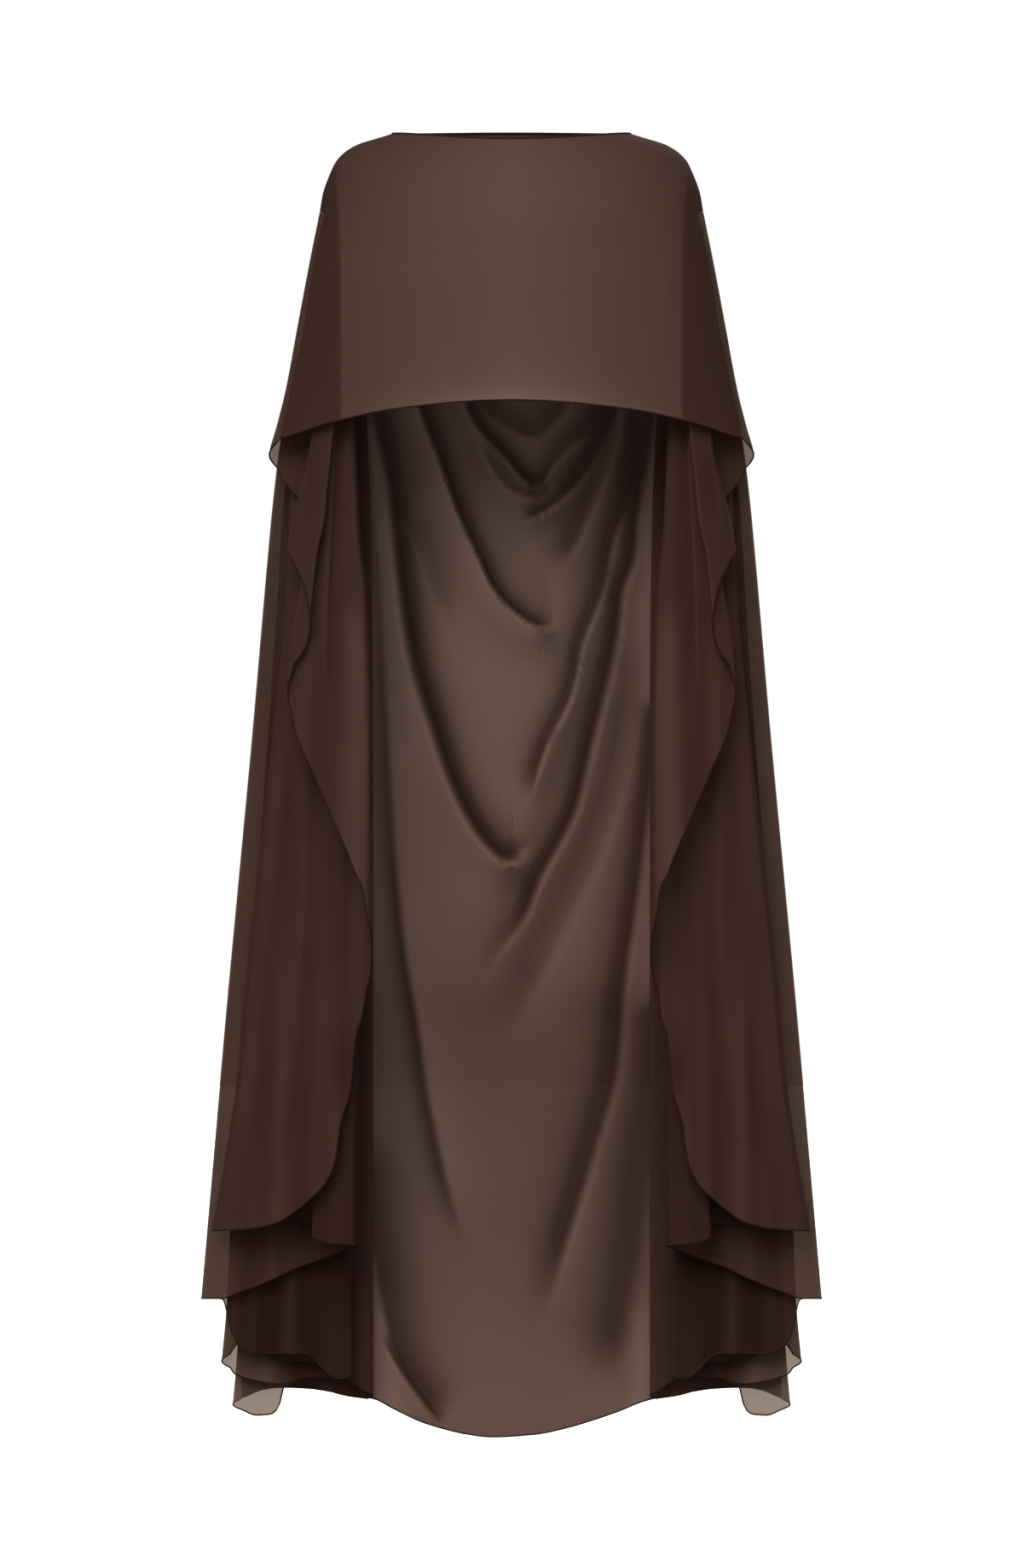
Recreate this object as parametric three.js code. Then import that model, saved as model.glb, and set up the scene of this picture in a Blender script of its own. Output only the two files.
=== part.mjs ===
// A floor-length draped cape in sheer chiffon, worn and filled out. Millimetres, +Z up, front on -Y.
// The origin is the centre of the boat neck. A short front panel covers the chest and arms. At each
// side its cloth turns back and falls to the floor in a cascade of folds, which ends in the long back.
import * as THREE from 'three';

// Cloth and making
const CLOTH = 1.2; // wall that stands for the chiffon
const SEAM = 0.35; // half the clearance where two pieces meet
const ROLL_RADIUS = 1.4; // narrow roll along the neck edge
const CASCADE_ROWS = 8; // rows of cloth down each cascade
const LAYERS = 16; // layers of cloth from the front of a side cascade to its back

// Neck and shoulders
const NECK_SIDE_Z = -2;
const FRONT_NECK_DIP = 9;
const GATHER_Z = -72; // the cascade's folds are gathered together at this height
const FOLD_TOP_Z = -125; // the outermost folds begin here, a little below the shoulder seam's end
const WING_HEM_Z = -371; // the front hem ends here, at the wing's corner
const BACK_SIDE_HEM_Z = -1488;
const ROUND_ROOM = 0.35; // share of the narrowest ply beside it that a fold's round may take
const PLAN_POWER = 2.6; // how square the plan of the worn cape is

// Half width of the worn cape in front view, from the neck over the shoulder to the floor
const SILHOUETTE = through([
  [-2, 140], [-5, 149], [-15, 181], [-25, 197], [-35, 206], [-45, 211], [-72, 221], [-95, 225],
  [-145, 235], [-225, 250], [-305, 265], [-345, 275], [-379, 284], [-440, 288], [-545, 299],
  [-865, 328], [-1185, 357], [-1368, 373], [-1540, 386],
]);
// Room between the outermost fold and the plan's end, nothing at the shoulder seam
const PLAN_ROOM = through([[-95, 0], [-125, 3], [-180, 9], [-260, 12], [-1540, 12]]);
const FRONT_DEPTH = through([
  [0, 55], [-60, 90], [-130, 108], [-220, 114], [-330, 114], [-420, 117], [-640, 135], [-940, 162],
  [-1290, 190], [-1500, 200],
]);
const BACK_DEPTH = through([
  [0, 52], [-60, 88], [-150, 108], [-330, 112], [-700, 114], [-1100, 118], [-1540, 124],
]);

// Folds of a side cascade in the order that the cloth runs. Side 1 lies outwards, -1 inwards.
// Round is the fold's reach in x. Path rows are [z, half width of the cape at the fold].
const FOLDS = {
  wing: { side: 1, round: 8, path: SILHOUETTE },
  tuck: { side: -1, round: 5, path: through([[-72, 201], [-200, 212], [-330, 222], [-441, 236]]) },
  band_outer: {
    side: 1, round: 6,
    path: through([[-72, 212], [-200, 222], [-330, 231], [-387, 239], [-427, 249], [-463, 258],
      [-495, 262]]),
  },
  band_inner: {
    side: -1, round: 6,
    path: through([[-72, 201], [-200, 204], [-335, 207], [-407, 214], [-458, 219], [-494, 227],
      [-585, 234]]),
  },
  lobe: {
    side: 1, round: 5,
    path: through([[-72, 207], [-200, 216], [-330, 225], [-427, 237], [-478, 242], [-535, 247], [-598, 258],
      [-675, 261]]),
  },
  inner_edge: {
    side: -1, round: 8,
    path: through([[-72, 195], [-155, 196], [-330, 184], [-463, 178], [-560, 168], [-705, 163],
      [-1010, 163]]),
  },
  first_outer: {
    side: 1, round: 9,
    path: through([[-72, 212], [-200, 232], [-330, 250], [-422, 259], [-481, 262], [-580, 268], [-705, 280],
      [-851, 296], [-1022, 314], [-1112, 322], [-1199, 335], [-1288, 351]]),
  },
  pleat_inner: { side: -1, round: 4, path: through([[-72, 202], [-330, 204], [-1300, 208]]) },
  pleat_outer: {
    side: 1, round: 4,
    path: through([[-72, 208], [-330, 214], [-805, 220], [-1050, 227], [-1300, 234]]),
  },
  flap_inner: {
    side: -1, round: 7,
    path: through([[-72, 196], [-330, 190], [-600, 186], [-873, 183], [-1033, 179], [-1306, 181]]),
  },
  second_outer: {
    side: 1, round: 9,
    path: through([[-72, 213], [-145, 227], [-225, 243], [-305, 260], [-361, 271], [-425, 279], [-465, 283],
      [-705, 304], [-865, 319], [-1025, 334], [-1185, 348], [-1368, 364]]),
  },
  third_inner: { side: -1, round: 8, path: through([[-72, 197], [-330, 193], [-700, 190], [-1458, 188]]) },
  flute_outer: {
    side: 1, round: 9,
    path: through([[-72, 212], [-200, 231], [-330, 255], [-402, 265], [-611, 279], [-845, 296], [-1042, 313],
      [-1143, 325], [-1368, 334], [-1447, 341]]),
  },
  floor_inner: {
    side: -1, round: 8,
    path: through([[-72, 194], [-330, 171], [-483, 165], [-705, 163], [-1488, 163]]),
  },
  back_outer: {
    side: 1, round: 10,
    path: through([[-2, 140], [-5, 149], [-15, 181], [-25, 197], [-35, 206], [-45, 211], [-72, 213],
      [-125, 227], [-225, 243], [-330, 252], [-402, 260], [-611, 273], [-845, 289], [-1042, 303],
      [-1143, 311], [-1424, 322], [-1495, 328]]),
  },
};

// Folds that the outline is made of, which are rounded more finely
const SILHOUETTE_FOLDS = ['wing', 'first_outer', 'second_outer', 'back_outer'];

// Plies between two folds, with the layer each lies in and its hem as [half width, z] points
const PLIES = [
  {
    layer: 6, from: 'wing', to: 'tuck',
    hem: [[276, -391], [264, -413], [255, -425], [248, -432]], ends: [-385, -440],
  },
  { layer: 5, from: 'tuck', to: 'band_outer', hem: [[248, -450], [254, -462]], ends: [-443, -484] },
  {
    layer: 2, from: 'band_outer', to: 'band_inner',
    hem: [[257, -506], [247, -527], [241, -540]], ends: [-494, -562],
  },
  { layer: 3, from: 'band_inner', to: 'lobe', hem: [[241, -608], [249, -622]], ends: [-582, -638] },
  {
    layer: 4, from: 'lobe', to: 'inner_edge',
    hem: [[252, -705], [234, -747], [212, -798], [195, -837], [184, -865], [173, -890]],
    ends: [-672, -914],
  },
  {
    layer: 7, from: 'inner_edge', to: 'first_outer',
    hem: [[175, -1036], [183, -1061], [186, -1095], [189, -1123], [196, -1146], [202, -1170], [205, -1200],
      [218, -1231], [234, -1248], [253, -1264], [271, -1276], [293, -1283], [320, -1286]],
    ends: [-1010, -1287],
  },
  {
    layer: 10, from: 'first_outer', to: 'pleat_inner',
    hem: [[296, -1283], [261, -1280], [233, -1279]], ends: [-1288, -1282],
  },
  { layer: 9, from: 'pleat_inner', to: 'pleat_outer', hem: [[221, -1288]], ends: [-1284, -1292] },
  {
    layer: 8, from: 'pleat_outer', to: 'flap_inner',
    hem: [[223, -1300], [205, -1302]], ends: [-1296, -1304],
  },
  {
    layer: 11, from: 'flap_inner', to: 'second_outer',
    hem: [[196, -1312], [223, -1322], [250, -1331], [275, -1343], [296, -1352], [321, -1361], [340, -1368]],
    ends: [-1308, -1368],
  },
  {
    layer: 12, from: 'second_outer', to: 'third_inner',
    hem: [[345, -1368], [338, -1370], [334, -1384], [331, -1400], [323, -1420], [316, -1427], [304, -1432],
      [275, -1433], [243, -1433], [234, -1437], [225, -1447], [214, -1457], [204, -1463]],
    ends: [-1368, -1461],
  },
  {
    layer: 13, from: 'third_inner', to: 'flute_outer',
    hem: [[205, -1450], [237, -1443], [273, -1441], [300, -1430], [322, -1422]], ends: [-1455, -1434],
  },
  {
    layer: 14, from: 'flute_outer', to: 'floor_inner',
    hem: [[325, -1458], [300, -1466], [272, -1470], [240, -1462], [200, -1462]], ends: [-1450, -1480],
  },
  {
    layer: 15, from: 'floor_inner', to: 'back_outer',
    hem: [[196, -1484], [214, -1479], [232, -1474], [254, -1473], [270, -1476], [276, -1498], [289, -1506],
      [306, -1505]],
    ends: [-1488, -1500],
  },
];

// Stretches of the cascade that show, each from the fold it starts at to the fold it ends at
const STRETCHES = [
  { name: 'wing_turnback', from: 'wing', to: 'tuck' },
  { name: 'upper_fall', from: 'tuck', to: 'band_inner' },
  { name: 'middle_fall', from: 'band_inner', to: 'inner_edge' },
  { name: 'first_fall', from: 'inner_edge', to: 'flap_inner' },
  { name: 'second_fall', from: 'flap_inner', to: 'third_inner' },
  { name: 'third_fall', from: 'third_inner', to: 'floor_inner' },
  { name: 'back_side', from: 'floor_inner', to: 'back_outer' },
];

// Front panel: hem as [half width, z] points, and the heights of its rows at the side
const FRONT_HEM = [
  [0, -316], [140, -324], [198, -333], [221, -338], [252, -351], [268, -360], [276, -371],
];
const FRONT_LEVELS = [-2, -5, -10, -16, -25, -36, -52, -72, -95, -125, -170, -235, -305, WING_HEM_Z];
const FRONT_HALF_COLUMNS = 13;

// Back panel: hem as [x, z] points, the heights of its rows at the side, and its columns
const BACK_HEM = [
  [-318, -1487], [-296, -1474], [-280, -1471], [-240, -1474], [-200, -1482], [-162, -1489],
  [-139, -1501], [-102, -1518], [-51, -1531], [-24, -1534], [27, -1531], [63, -1524], [91, -1516],
  [121, -1506], [162, -1490], [200, -1482], [240, -1474], [280, -1471], [296, -1474], [318, -1487],
];
const BACK_LEVELS = [
  -2, -6, -14, -25, -40, -72, -95, -110, -125, -175, -245, -290, -320, -350, -380, -410, -440, -470,
  -500, -535, -570, -610, -655, -700, -745, -790, -835, -885, -945, -1020, -1110, -1210, -1310, -1400,
  BACK_SIDE_HEM_Z,
];
const BACK_INNER_COLUMNS = 30; // even columns over the draped middle
const BACK_INNER_SHARE = 0.65; // share of the half width that they cover
const BACK_OUTER_SHARES = [0.71, 0.78, 0.85, 0.92, 0.97, 1];

// Swags of the back as seen from the front. Each falls back along its run of [x, z] points and stands
// towards the front beside it: on the outer, lower side of a run that goes down the left, round the
// bottom or up the right. Width is the trough's half width, and fades are the lengths over which the
// swag rises and dies away, both at the start and the end of the run.
const SWAGS = [
  {
    trough: 12, crest: 9, width: [16, 9], fades: [170, 30],
    run: [[-112, -125], [-78, -210], [-56, -285], [-46, -325], [-26, -355], [0, -383], [15, -401],
      [33, -415]],
  },
  {
    trough: 9, crest: 9, width: [9, 15], fades: [30, 190],
    run: [[30, -417], [40, -394], [55, -374], [75, -356], [96, -343], [107, -323], [118, -290],
      [128, -210], [136, -110]],
  },
  {
    trough: 10, crest: 10, width: [10, 16], fades: [40, 200],
    run: [[6, -455], [31, -443], [53, -428], [71, -410], [87, -388], [102, -361], [118, -327],
      [130, -290], [143, -200], [152, -100]],
  },
  {
    trough: 14, crest: 18, width: [17, 12], fades: [190, 40],
    run: [[-140, -95], [-130, -180], [-114, -275], [-103, -325], [-87, -367], [-72, -410], [-54, -457],
      [-36, -495], [-14, -539], [9, -562], [31, -575], [58, -576]],
  },
  {
    trough: 10, crest: 9, width: [12, 12], fades: [50, 90],
    run: [[44, -519], [62, -490], [76, -461], [93, -421], [111, -372], [122, -330], [132, -285]],
  },
  {
    trough: 6, crest: 6, width: [12, 12], fades: [60, 70],
    run: [[-123, -439], [-110, -466], [-92, -519], [-81, -557], [-70, -595]],
  },
  {
    trough: 9, crest: 11, width: [11, 15], fades: [60, 190],
    run: [[15, -793], [26, -751], [43, -706], [63, -667], [71, -640], [79, -600], [94, -560], [108, -515],
      [116, -475], [131, -435], [141, -395], [147, -345], [150, -290], [157, -200], [162, -105]],
  },
  {
    trough: 16, crest: 17, width: [16, 11], fades: [190, 40],
    run: [[-172, -100], [-168, -185], [-162, -275], [-157, -327], [-141, -399], [-132, -472],
      [-123, -546], [-105, -640],
      [-89, -690], [-72, -743], [-44, -805], [-24, -833], [-2, -849], [24, -834]],
  },
  {
    trough: 16, crest: 17, width: [14, 15], fades: [110, 190],
    run: [[-47, -1018], [-35, -990], [-16, -953], [4, -928], [26, -878], [49, -835], [69, -793],
      [83, -737], [97, -681], [107, -640], [120, -573], [127, -528], [136, -506], [142, -461],
      [151, -405], [163, -330], [166, -285], [170, -195], [173, -100]],
  },
  {
    trough: 9, crest: 8, width: [18, 14], fades: [110, 80],
    run: [[-25, -1085], [-10, -1046], [4, -1018], [26, -976], [54, -920], [83, -864], [105, -807],
      [122, -751], [133, -695], [144, -625], [152, -565]],
  },
  {
    trough: 12, crest: 13, width: [15, 13], fades: [140, 80],
    run: [[21, -1421], [34, -1383], [50, -1325], [66, -1274], [82, -1223], [101, -1160], [114, -1115],
      [122, -1046], [130, -976], [139, -920], [147, -864], [156, -793], [164, -718], [170, -645]],
  },
  {
    trough: 12, crest: 6, width: [22, 26], fades: [90, 90],
    run: [[100, -1495], [110, -1459], [123, -1396], [136, -1332], [149, -1236], [165, -1141],
      [174, -1061], [178, -995]],
  },
  {
    trough: 9, crest: 9, width: [16, 12], fades: [120, 220],
    run: [[-58, -1330], [-66, -1290], [-78, -1252], [-93, -1188], [-106, -1125], [-115, -1060],
      [-128, -985], [-138, -905], [-146, -800], [-151, -700], [-156, -590], [-165, -440], [-172, -330],
      [-176, -210], [-178, -110]],
  },
  {
    trough: 10, crest: 8, width: [20, 15], fades: [80, 60],
    run: [[-178, -1160], [-170, -1220], [-157, -1284], [-145, -1332], [-129, -1389], [-109, -1437],
      [-81, -1482], [-65, -1507]],
  },
];
const SWAG_STEP = [-0.9, 1.7]; // where a trough rises to its crest, in widths
const SWAG_SPREAD = 3.2; // how far the slopes on both sides run out, in widths
const SWAG_SAMPLES = 80;
const SWAG_EDGE = [120, 168]; // half widths between which the crests flatten, clear of the cascades

/** Smooth curve through rows of [place, value], which never passes beyond the rows' own values. */
function through(rows) {
  const sorted = [...rows].sort((a, b) => a[0] - b[0]);
  const last = sorted.length - 1;
  const rise = (i) => (sorted[i + 1][1] - sorted[i][1]) / (sorted[i + 1][0] - sorted[i][0]);
  const slopes = sorted.map((row, i) => {
    if (i === 0) return rise(0);
    if (i === last) return rise(last - 1);
    const product = rise(i - 1) * rise(i);
    return product <= 0 ? 0 : (2 * product) / (rise(i - 1) + rise(i));
  });
  return (place) => {
    if (place <= sorted[0][0]) return sorted[0][1];
    if (place >= sorted[last][0]) return sorted[last][1];
    const i = sorted.findIndex((row) => row[0] > place) - 1;
    const span = sorted[i + 1][0] - sorted[i][0];
    const t = (place - sorted[i][0]) / span;
    const a = sorted[i][1];
    const b = sorted[i + 1][1];
    const bend = (1 - t) * slopes[i] * span - t * slopes[i + 1] * span - (1 - 2 * t) * (b - a);
    return a + (b - a) * t + t * (1 - t) * bend;
  };
}

/** Share of the full depth at a half width: 1 in the middle of the body, 0 where the plan ends. */
function planShare(halfWidth, z) {
  const share = Math.min(Math.abs(halfWidth) / (SILHOUETTE(z) + PLAN_ROOM(z)), 1);
  return Math.sqrt(1 - share ** PLAN_POWER);
}

/** Depth y of a layer, counted from 1 at the front to LAYERS at the back. */
function layerDepth(layer, halfWidth, z) {
  const share = (layer - 1) / (LAYERS - 1);
  return planShare(halfWidth, z) * THREE.MathUtils.lerp(-FRONT_DEPTH(z), BACK_DEPTH(z), share);
}

/** How far a fold rounds in x at a height, less where the plies beside it are narrow. */
function rounding(fold, z) {
  const rooms = PLIES.filter((ply) => FOLDS[ply.from] === fold || FOLDS[ply.to] === fold)
    .map((ply) => Math.abs(FOLDS[ply.from].path(z) - FOLDS[ply.to].path(z)));
  return Math.min(fold.round, ROUND_ROOM * Math.min(...rooms));
}

/** Half width where a fold's round meets its plies. */
function foldFoot(fold, z) {
  return fold.path(z) - fold.side * rounding(fold, z);
}

/** Height at which a fold begins, lower for the two that lie on the outline at the arm. */
function foldTop(name) {
  return name === 'wing' || name === 'back_outer' ? FOLD_TOP_Z : GATHER_Z;
}

/** Stations over a fold, from the layer before it to the layer after it, by angle. */
function foldStations(name, before, after, hems) {
  const fold = FOLDS[name];
  const angles = SILHOUETTE_FOLDS.includes(name) ? [-90, -45, 0, 45, 90] : [-90, 0, 90];
  return angles.map((degrees) => {
    const angle = THREE.MathUtils.degToRad(degrees);
    const share = (1 + Math.sin(angle)) / 2;
    return {
      fold: degrees === 0 ? name : null,
      top: foldTop(name),
      hem: THREE.MathUtils.lerp(hems[0], hems[1], share),
      place(z) {
        const reach = rounding(fold, z);
        return [
          fold.path(z) + fold.side * reach * (Math.cos(angle) - 1),
          THREE.MathUtils.lerp(before, after, share),
        ];
      },
    };
  });
}

/** Highest place of a ply's stations: a ply beside the outline stays under the outermost folds. */
function plyTop(ply) {
  return Math.min(foldTop(ply.from), foldTop(ply.to));
}

/** Stations across a ply, one at each point of its hem. */
function plyStations(ply) {
  const from = FOLDS[ply.from];
  const to = FOLDS[ply.to];
  return ply.hem.map(([halfWidth, hem]) => {
    const start = foldFoot(from, hem);
    const share = (halfWidth - start) / (foldFoot(to, hem) - start);
    return {
      fold: null,
      top: plyTop(ply),
      hem,
      place: (z) => [THREE.MathUtils.lerp(foldFoot(from, z), foldFoot(to, z), share), ply.layer],
    };
  });
}

/** All stations of a cascade in the order that the cloth runs, from the front panel to the back. */
function cascadeStations() {
  const first = PLIES[0];
  const stations = foldStations(first.from, 1, first.layer, [WING_HEM_Z, first.ends[0]]);
  PLIES.forEach((ply, i) => {
    const next = PLIES[i + 1];
    stations.push(...plyStations(ply));
    stations.push(...foldStations(
      ply.to, ply.layer, next ? next.layer : LAYERS, [ply.ends[1], next ? next.ends[0] : BACK_SIDE_HEM_Z]));
  });
  return stations;
}

/** Wall of cloth through a grid of points, closed by rims, its thickness shared by both sides. */
function clothWall(grid, normals) {
  const columns = grid.length;
  const rows = grid[0].length;
  const positions = [];
  for (const side of [1, -1]) {
    grid.forEach((column, i) => column.forEach((point, j) => {
      positions.push(...point.clone().addScaledVector(normals[i][j], (side * CLOTH) / 2));
    }));
  }
  const at = (i, j, back) => i * rows + j + (back ? columns * rows : 0);
  const faces = [];
  const quad = (a, b, c, d) => faces.push(a, b, c, a, c, d);
  for (let i = 0; i < columns - 1; i += 1) {
    for (let j = 0; j < rows - 1; j += 1) {
      quad(at(i, j), at(i + 1, j), at(i + 1, j + 1), at(i, j + 1));
      quad(at(i, j, true), at(i, j + 1, true), at(i + 1, j + 1, true), at(i + 1, j, true));
    }
    quad(at(i, 0), at(i, 0, true), at(i + 1, 0, true), at(i + 1, 0));
    quad(at(i, rows - 1), at(i + 1, rows - 1), at(i + 1, rows - 1, true), at(i, rows - 1, true));
  }
  for (let j = 0; j < rows - 1; j += 1) {
    quad(at(0, j), at(0, j + 1), at(0, j + 1, true), at(0, j, true));
    quad(at(columns - 1, j), at(columns - 1, j, true), at(columns - 1, j + 1, true), at(columns - 1, j + 1));
  }
  const geometry = new THREE.BufferGeometry();
  geometry.setAttribute('position', new THREE.Float32BufferAttribute(positions, 3));
  geometry.setIndex(faces);
  geometry.computeVertexNormals();
  return geometry;
}

/** Unit normals of a grid of points, from its neighbours along columns and rows. */
function gridNormals(grid) {
  const last = grid.length - 1;
  return grid.map((column, i) => column.map((point, j) => {
    const across = grid[Math.min(i + 1, last)][j].clone().sub(grid[Math.max(i - 1, 0)][j]);
    const down = column[Math.min(j + 1, column.length - 1)].clone().sub(column[Math.max(j - 1, 0)]);
    return across.cross(down).normalize();
  }));
}

/** Grid of points of a cascade on one side of the body, side -1 on the left and 1 on the right. */
function cascadeGrid(stations, side) {
  return stations.map((station) => Array.from({ length: CASCADE_ROWS + 1 }, (_, j) => {
    const z = THREE.MathUtils.lerp(station.top, station.hem, j / CASCADE_ROWS);
    const [halfWidth, layer] = station.place(z);
    return new THREE.Vector3(side * halfWidth, layerDepth(layer, halfWidth, z), z);
  }));
}

/** Geometry of one stretch of a cascade, held clear of its neighbours at both ends. */
function stretchGeometry(stretch, stations, side) {
  const seamless = { wing: 0, back_outer: stations.length - 1 };
  const first = seamless[stretch.from] ?? stations.findIndex((s) => s.fold === stretch.from);
  const end = seamless[stretch.to] ?? stations.findIndex((s) => s.fold === stretch.to);
  const grid = cascadeGrid(stations, side);
  const normals = gridNormals(grid).slice(first, end + 1);
  const piece = grid.slice(first, end + 1);
  [[0, 1], [piece.length - 1, piece.length - 2]].forEach(([rim, inner]) => {
    piece[rim] = piece[rim].map((point, j) => {
      const inward = piece[inner][j].clone().sub(point).normalize();
      return point.clone().addScaledVector(inward, SEAM);
    });
  });
  return clothWall(piece, normals);
}

/** Columns of a panel as shares of its half width, closer together towards its rounded sides. */
function frontShares() {
  return Array.from({ length: 2 * FRONT_HALF_COLUMNS + 1 }, (_, i) => (
    Math.sin((i / FRONT_HALF_COLUMNS - 1) * (Math.PI / 2))));
}

/** Half width of the front panel at a height: the shoulder seam, then the foot of the wing's fold. */
function frontEdge(z) {
  return z > FOLD_TOP_Z + 1 ? SILHOUETTE(z) : foldFoot(FOLDS.wing, z) - 2 * SEAM;
}

/** Half width of the back panel at a height. */
function backEdge(z) {
  return z > FOLD_TOP_Z + 1 ? SILHOUETTE(z) : foldFoot(FOLDS.back_outer, z) - 2 * SEAM;
}

/** Point of a panel. Share runs over its width, and level is the row's height at its side. */
function panelPoint(share, level, levels, edge, neckZ, hemZ, layer) {
  const down = (level - levels[0]) / (levels.at(-1) - levels[0]);
  const z = THREE.MathUtils.lerp(neckZ, hemZ, down);
  const halfWidth = Math.abs(share) * edge(level);
  const front = layer === 1 ? -1 : 1;
  const lift = THREE.MathUtils.lerp(level, z, planShare(halfWidth, level));
  const y = layerDepth(layer, halfWidth, level) + front * SEAM;
  return new THREE.Vector3(Math.sign(share) * halfWidth, y, lift);
}

/** Points of the short front panel, from the neck over both arms. */
function frontGrid() {
  const width = frontEdge(FRONT_LEVELS.at(-1));
  const hem = through(FRONT_HEM.map(([halfWidth, z]) => [halfWidth / width, z]));
  return frontShares().map((share) => FRONT_LEVELS.map((level) => {
    const neck = NECK_SIDE_Z - FRONT_NECK_DIP * (1 - share ** 2);
    return panelPoint(share, level, FRONT_LEVELS, frontEdge, neck, hem(Math.abs(share)), 1);
  }));
}

/** Samples along a swag's run: its places, directions, half widths and strengths. */
function swagSamples({ run, width, fades }) {
  const points = run.map(([x, z]) => new THREE.Vector3(x, 0, z));
  const curve = new THREE.CatmullRomCurve3(points, false, 'centripetal');
  const length = curve.getLength();
  return Array.from({ length: SWAG_SAMPLES + 1 }, (_, i) => {
    const share = i / SWAG_SAMPLES;
    const rise = THREE.MathUtils.smoothstep(share * length, 0, fades[0]);
    const fall = THREE.MathUtils.smoothstep((1 - share) * length, 0, fades[1]);
    return {
      place: curve.getPointAt(share),
      direction: curve.getTangentAt(share),
      width: THREE.MathUtils.lerp(width[0], width[1], share),
      strength: rise * fall,
    };
  });
}

/** How far one swag moves the back's cloth towards the front at a place. */
function swagForward({ trough, crest, samples }, x, z) {
  const away = samples.map(({ place }) => Math.hypot(x - place.x, z - place.z));
  const near = away.indexOf(Math.min(...away));
  const { place, direction, width, strength } = samples[near];
  const side = (x - place.x) * direction.z > (z - place.z) * direction.x ? 1 : -1;
  const beside = (side * away[near]) / width;
  const step = THREE.MathUtils.smoothstep(beside, ...SWAG_STEP);
  const slope = Math.exp(-((beside / SWAG_SPREAD) ** 2));
  return strength * slope * THREE.MathUtils.lerp(-trough, crest, step);
}

/** How far the back's cloth stands towards the front at a place, from all swags. */
function drape(swags, x, z) {
  const aside = THREE.MathUtils.smoothstep(Math.abs(x), ...SWAG_EDGE);
  const forward = swags.reduce((sum, swag) => sum + swagForward(swag, x, z), 0);
  return forward > 0 ? forward * (1 - aside) : forward;
}

/** Points of the floor-length back panel with its swags. */
function backGrid() {
  const width = backEdge(BACK_LEVELS.at(-1));
  const hem = through(BACK_HEM.map(([x, z]) => [x / width, z]));
  const swags = SWAGS.map((swag) => ({ ...swag, samples: swagSamples(swag) }));
  const inner = Array.from({ length: BACK_INNER_COLUMNS + 1 }, (_, i) => (
    BACK_INNER_SHARE * ((2 * i) / BACK_INNER_COLUMNS - 1)));
  const shares = [...BACK_OUTER_SHARES.map((s) => -s).reverse(), ...inner, ...BACK_OUTER_SHARES];
  return shares.map((share) => BACK_LEVELS.map((level) => {
    const neck = NECK_SIDE_Z * share ** 2;
    const point = panelPoint(share, level, BACK_LEVELS, backEdge, neck, hem(share), LAYERS);
    point.y -= drape(swags, point.x, point.z);
    return point;
  }));
}

/** Narrow roll that binds the neck edge, laid on the top row of a panel's points. */
function neckRoll(grid) {
  const points = grid.slice(1, -1).map(([edge, below]) => {
    const outward = edge.clone().sub(below).normalize();
    return edge.clone().addScaledVector(outward, ROLL_RADIUS + CLOTH / 2 + SEAM);
  });
  const section = new THREE.Shape();
  section.absarc(0, 0, ROLL_RADIUS, 0, 2 * Math.PI);
  return new THREE.ExtrudeGeometry(section, {
    steps: points.length - 1,
    curveSegments: 3,
    bevelEnabled: false,
    extrudePath: new THREE.CatmullRomCurve3(points),
  });
}

const MATT = { roughness: 0.8, metalness: 0 };
const chiffon = new THREE.MeshStandardMaterial({ name: 'chiffon', color: 0x4e3d36, ...MATT });
const hemRoll = new THREE.MeshStandardMaterial({ name: 'rolled_hem', color: 0x2a1a16, ...MATT });

const group = new THREE.Group();

/** Adds one named piece to the cape. */
function addPiece(name, geometry, material) {
  const mesh = new THREE.Mesh(geometry, material);
  mesh.name = name;
  group.add(mesh);
}

const front = frontGrid();
const back = backGrid();
addPiece('front_panel', clothWall(front, gridNormals(front)), chiffon);
addPiece('back_panel', clothWall(back, gridNormals(back)), chiffon);
const stations = cascadeStations();
for (const [sideName, side] of [['left', -1], ['right', 1]]) {
  for (const stretch of STRETCHES) {
    addPiece(`${stretch.name}_${sideName}`, stretchGeometry(stretch, stations, side), chiffon);
  }
}
addPiece('neck_roll_front', neckRoll(front), hemRoll);
addPiece('neck_roll_back', neckRoll(back), hemRoll);

export default group;
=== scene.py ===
"""Looks of a floor-length draped chiffon cape, worn and filled out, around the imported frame.

Lengths are millimetres until a mesh is made, and +Z is up with the front on -Y. Every cloth surface
is a grid of points: columns run across the cloth and rows run down it from the shoulders to the hem.
"""

from __future__ import annotations

import logging
import math
from dataclasses import dataclass, field
from enum import Enum

import bpy
import numpy as np
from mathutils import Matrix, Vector


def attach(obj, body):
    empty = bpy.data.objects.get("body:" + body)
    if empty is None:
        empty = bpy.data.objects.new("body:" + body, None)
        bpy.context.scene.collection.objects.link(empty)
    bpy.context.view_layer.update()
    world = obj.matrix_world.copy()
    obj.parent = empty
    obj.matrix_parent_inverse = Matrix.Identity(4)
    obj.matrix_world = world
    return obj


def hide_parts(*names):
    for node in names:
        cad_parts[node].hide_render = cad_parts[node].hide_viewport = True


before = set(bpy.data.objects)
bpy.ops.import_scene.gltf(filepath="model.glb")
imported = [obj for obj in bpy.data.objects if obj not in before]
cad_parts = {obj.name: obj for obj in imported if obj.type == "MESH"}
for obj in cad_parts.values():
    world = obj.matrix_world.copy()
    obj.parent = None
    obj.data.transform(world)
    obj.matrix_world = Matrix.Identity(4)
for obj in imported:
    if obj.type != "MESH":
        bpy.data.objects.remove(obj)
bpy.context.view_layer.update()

LOG = logging.getLogger("cape")
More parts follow.
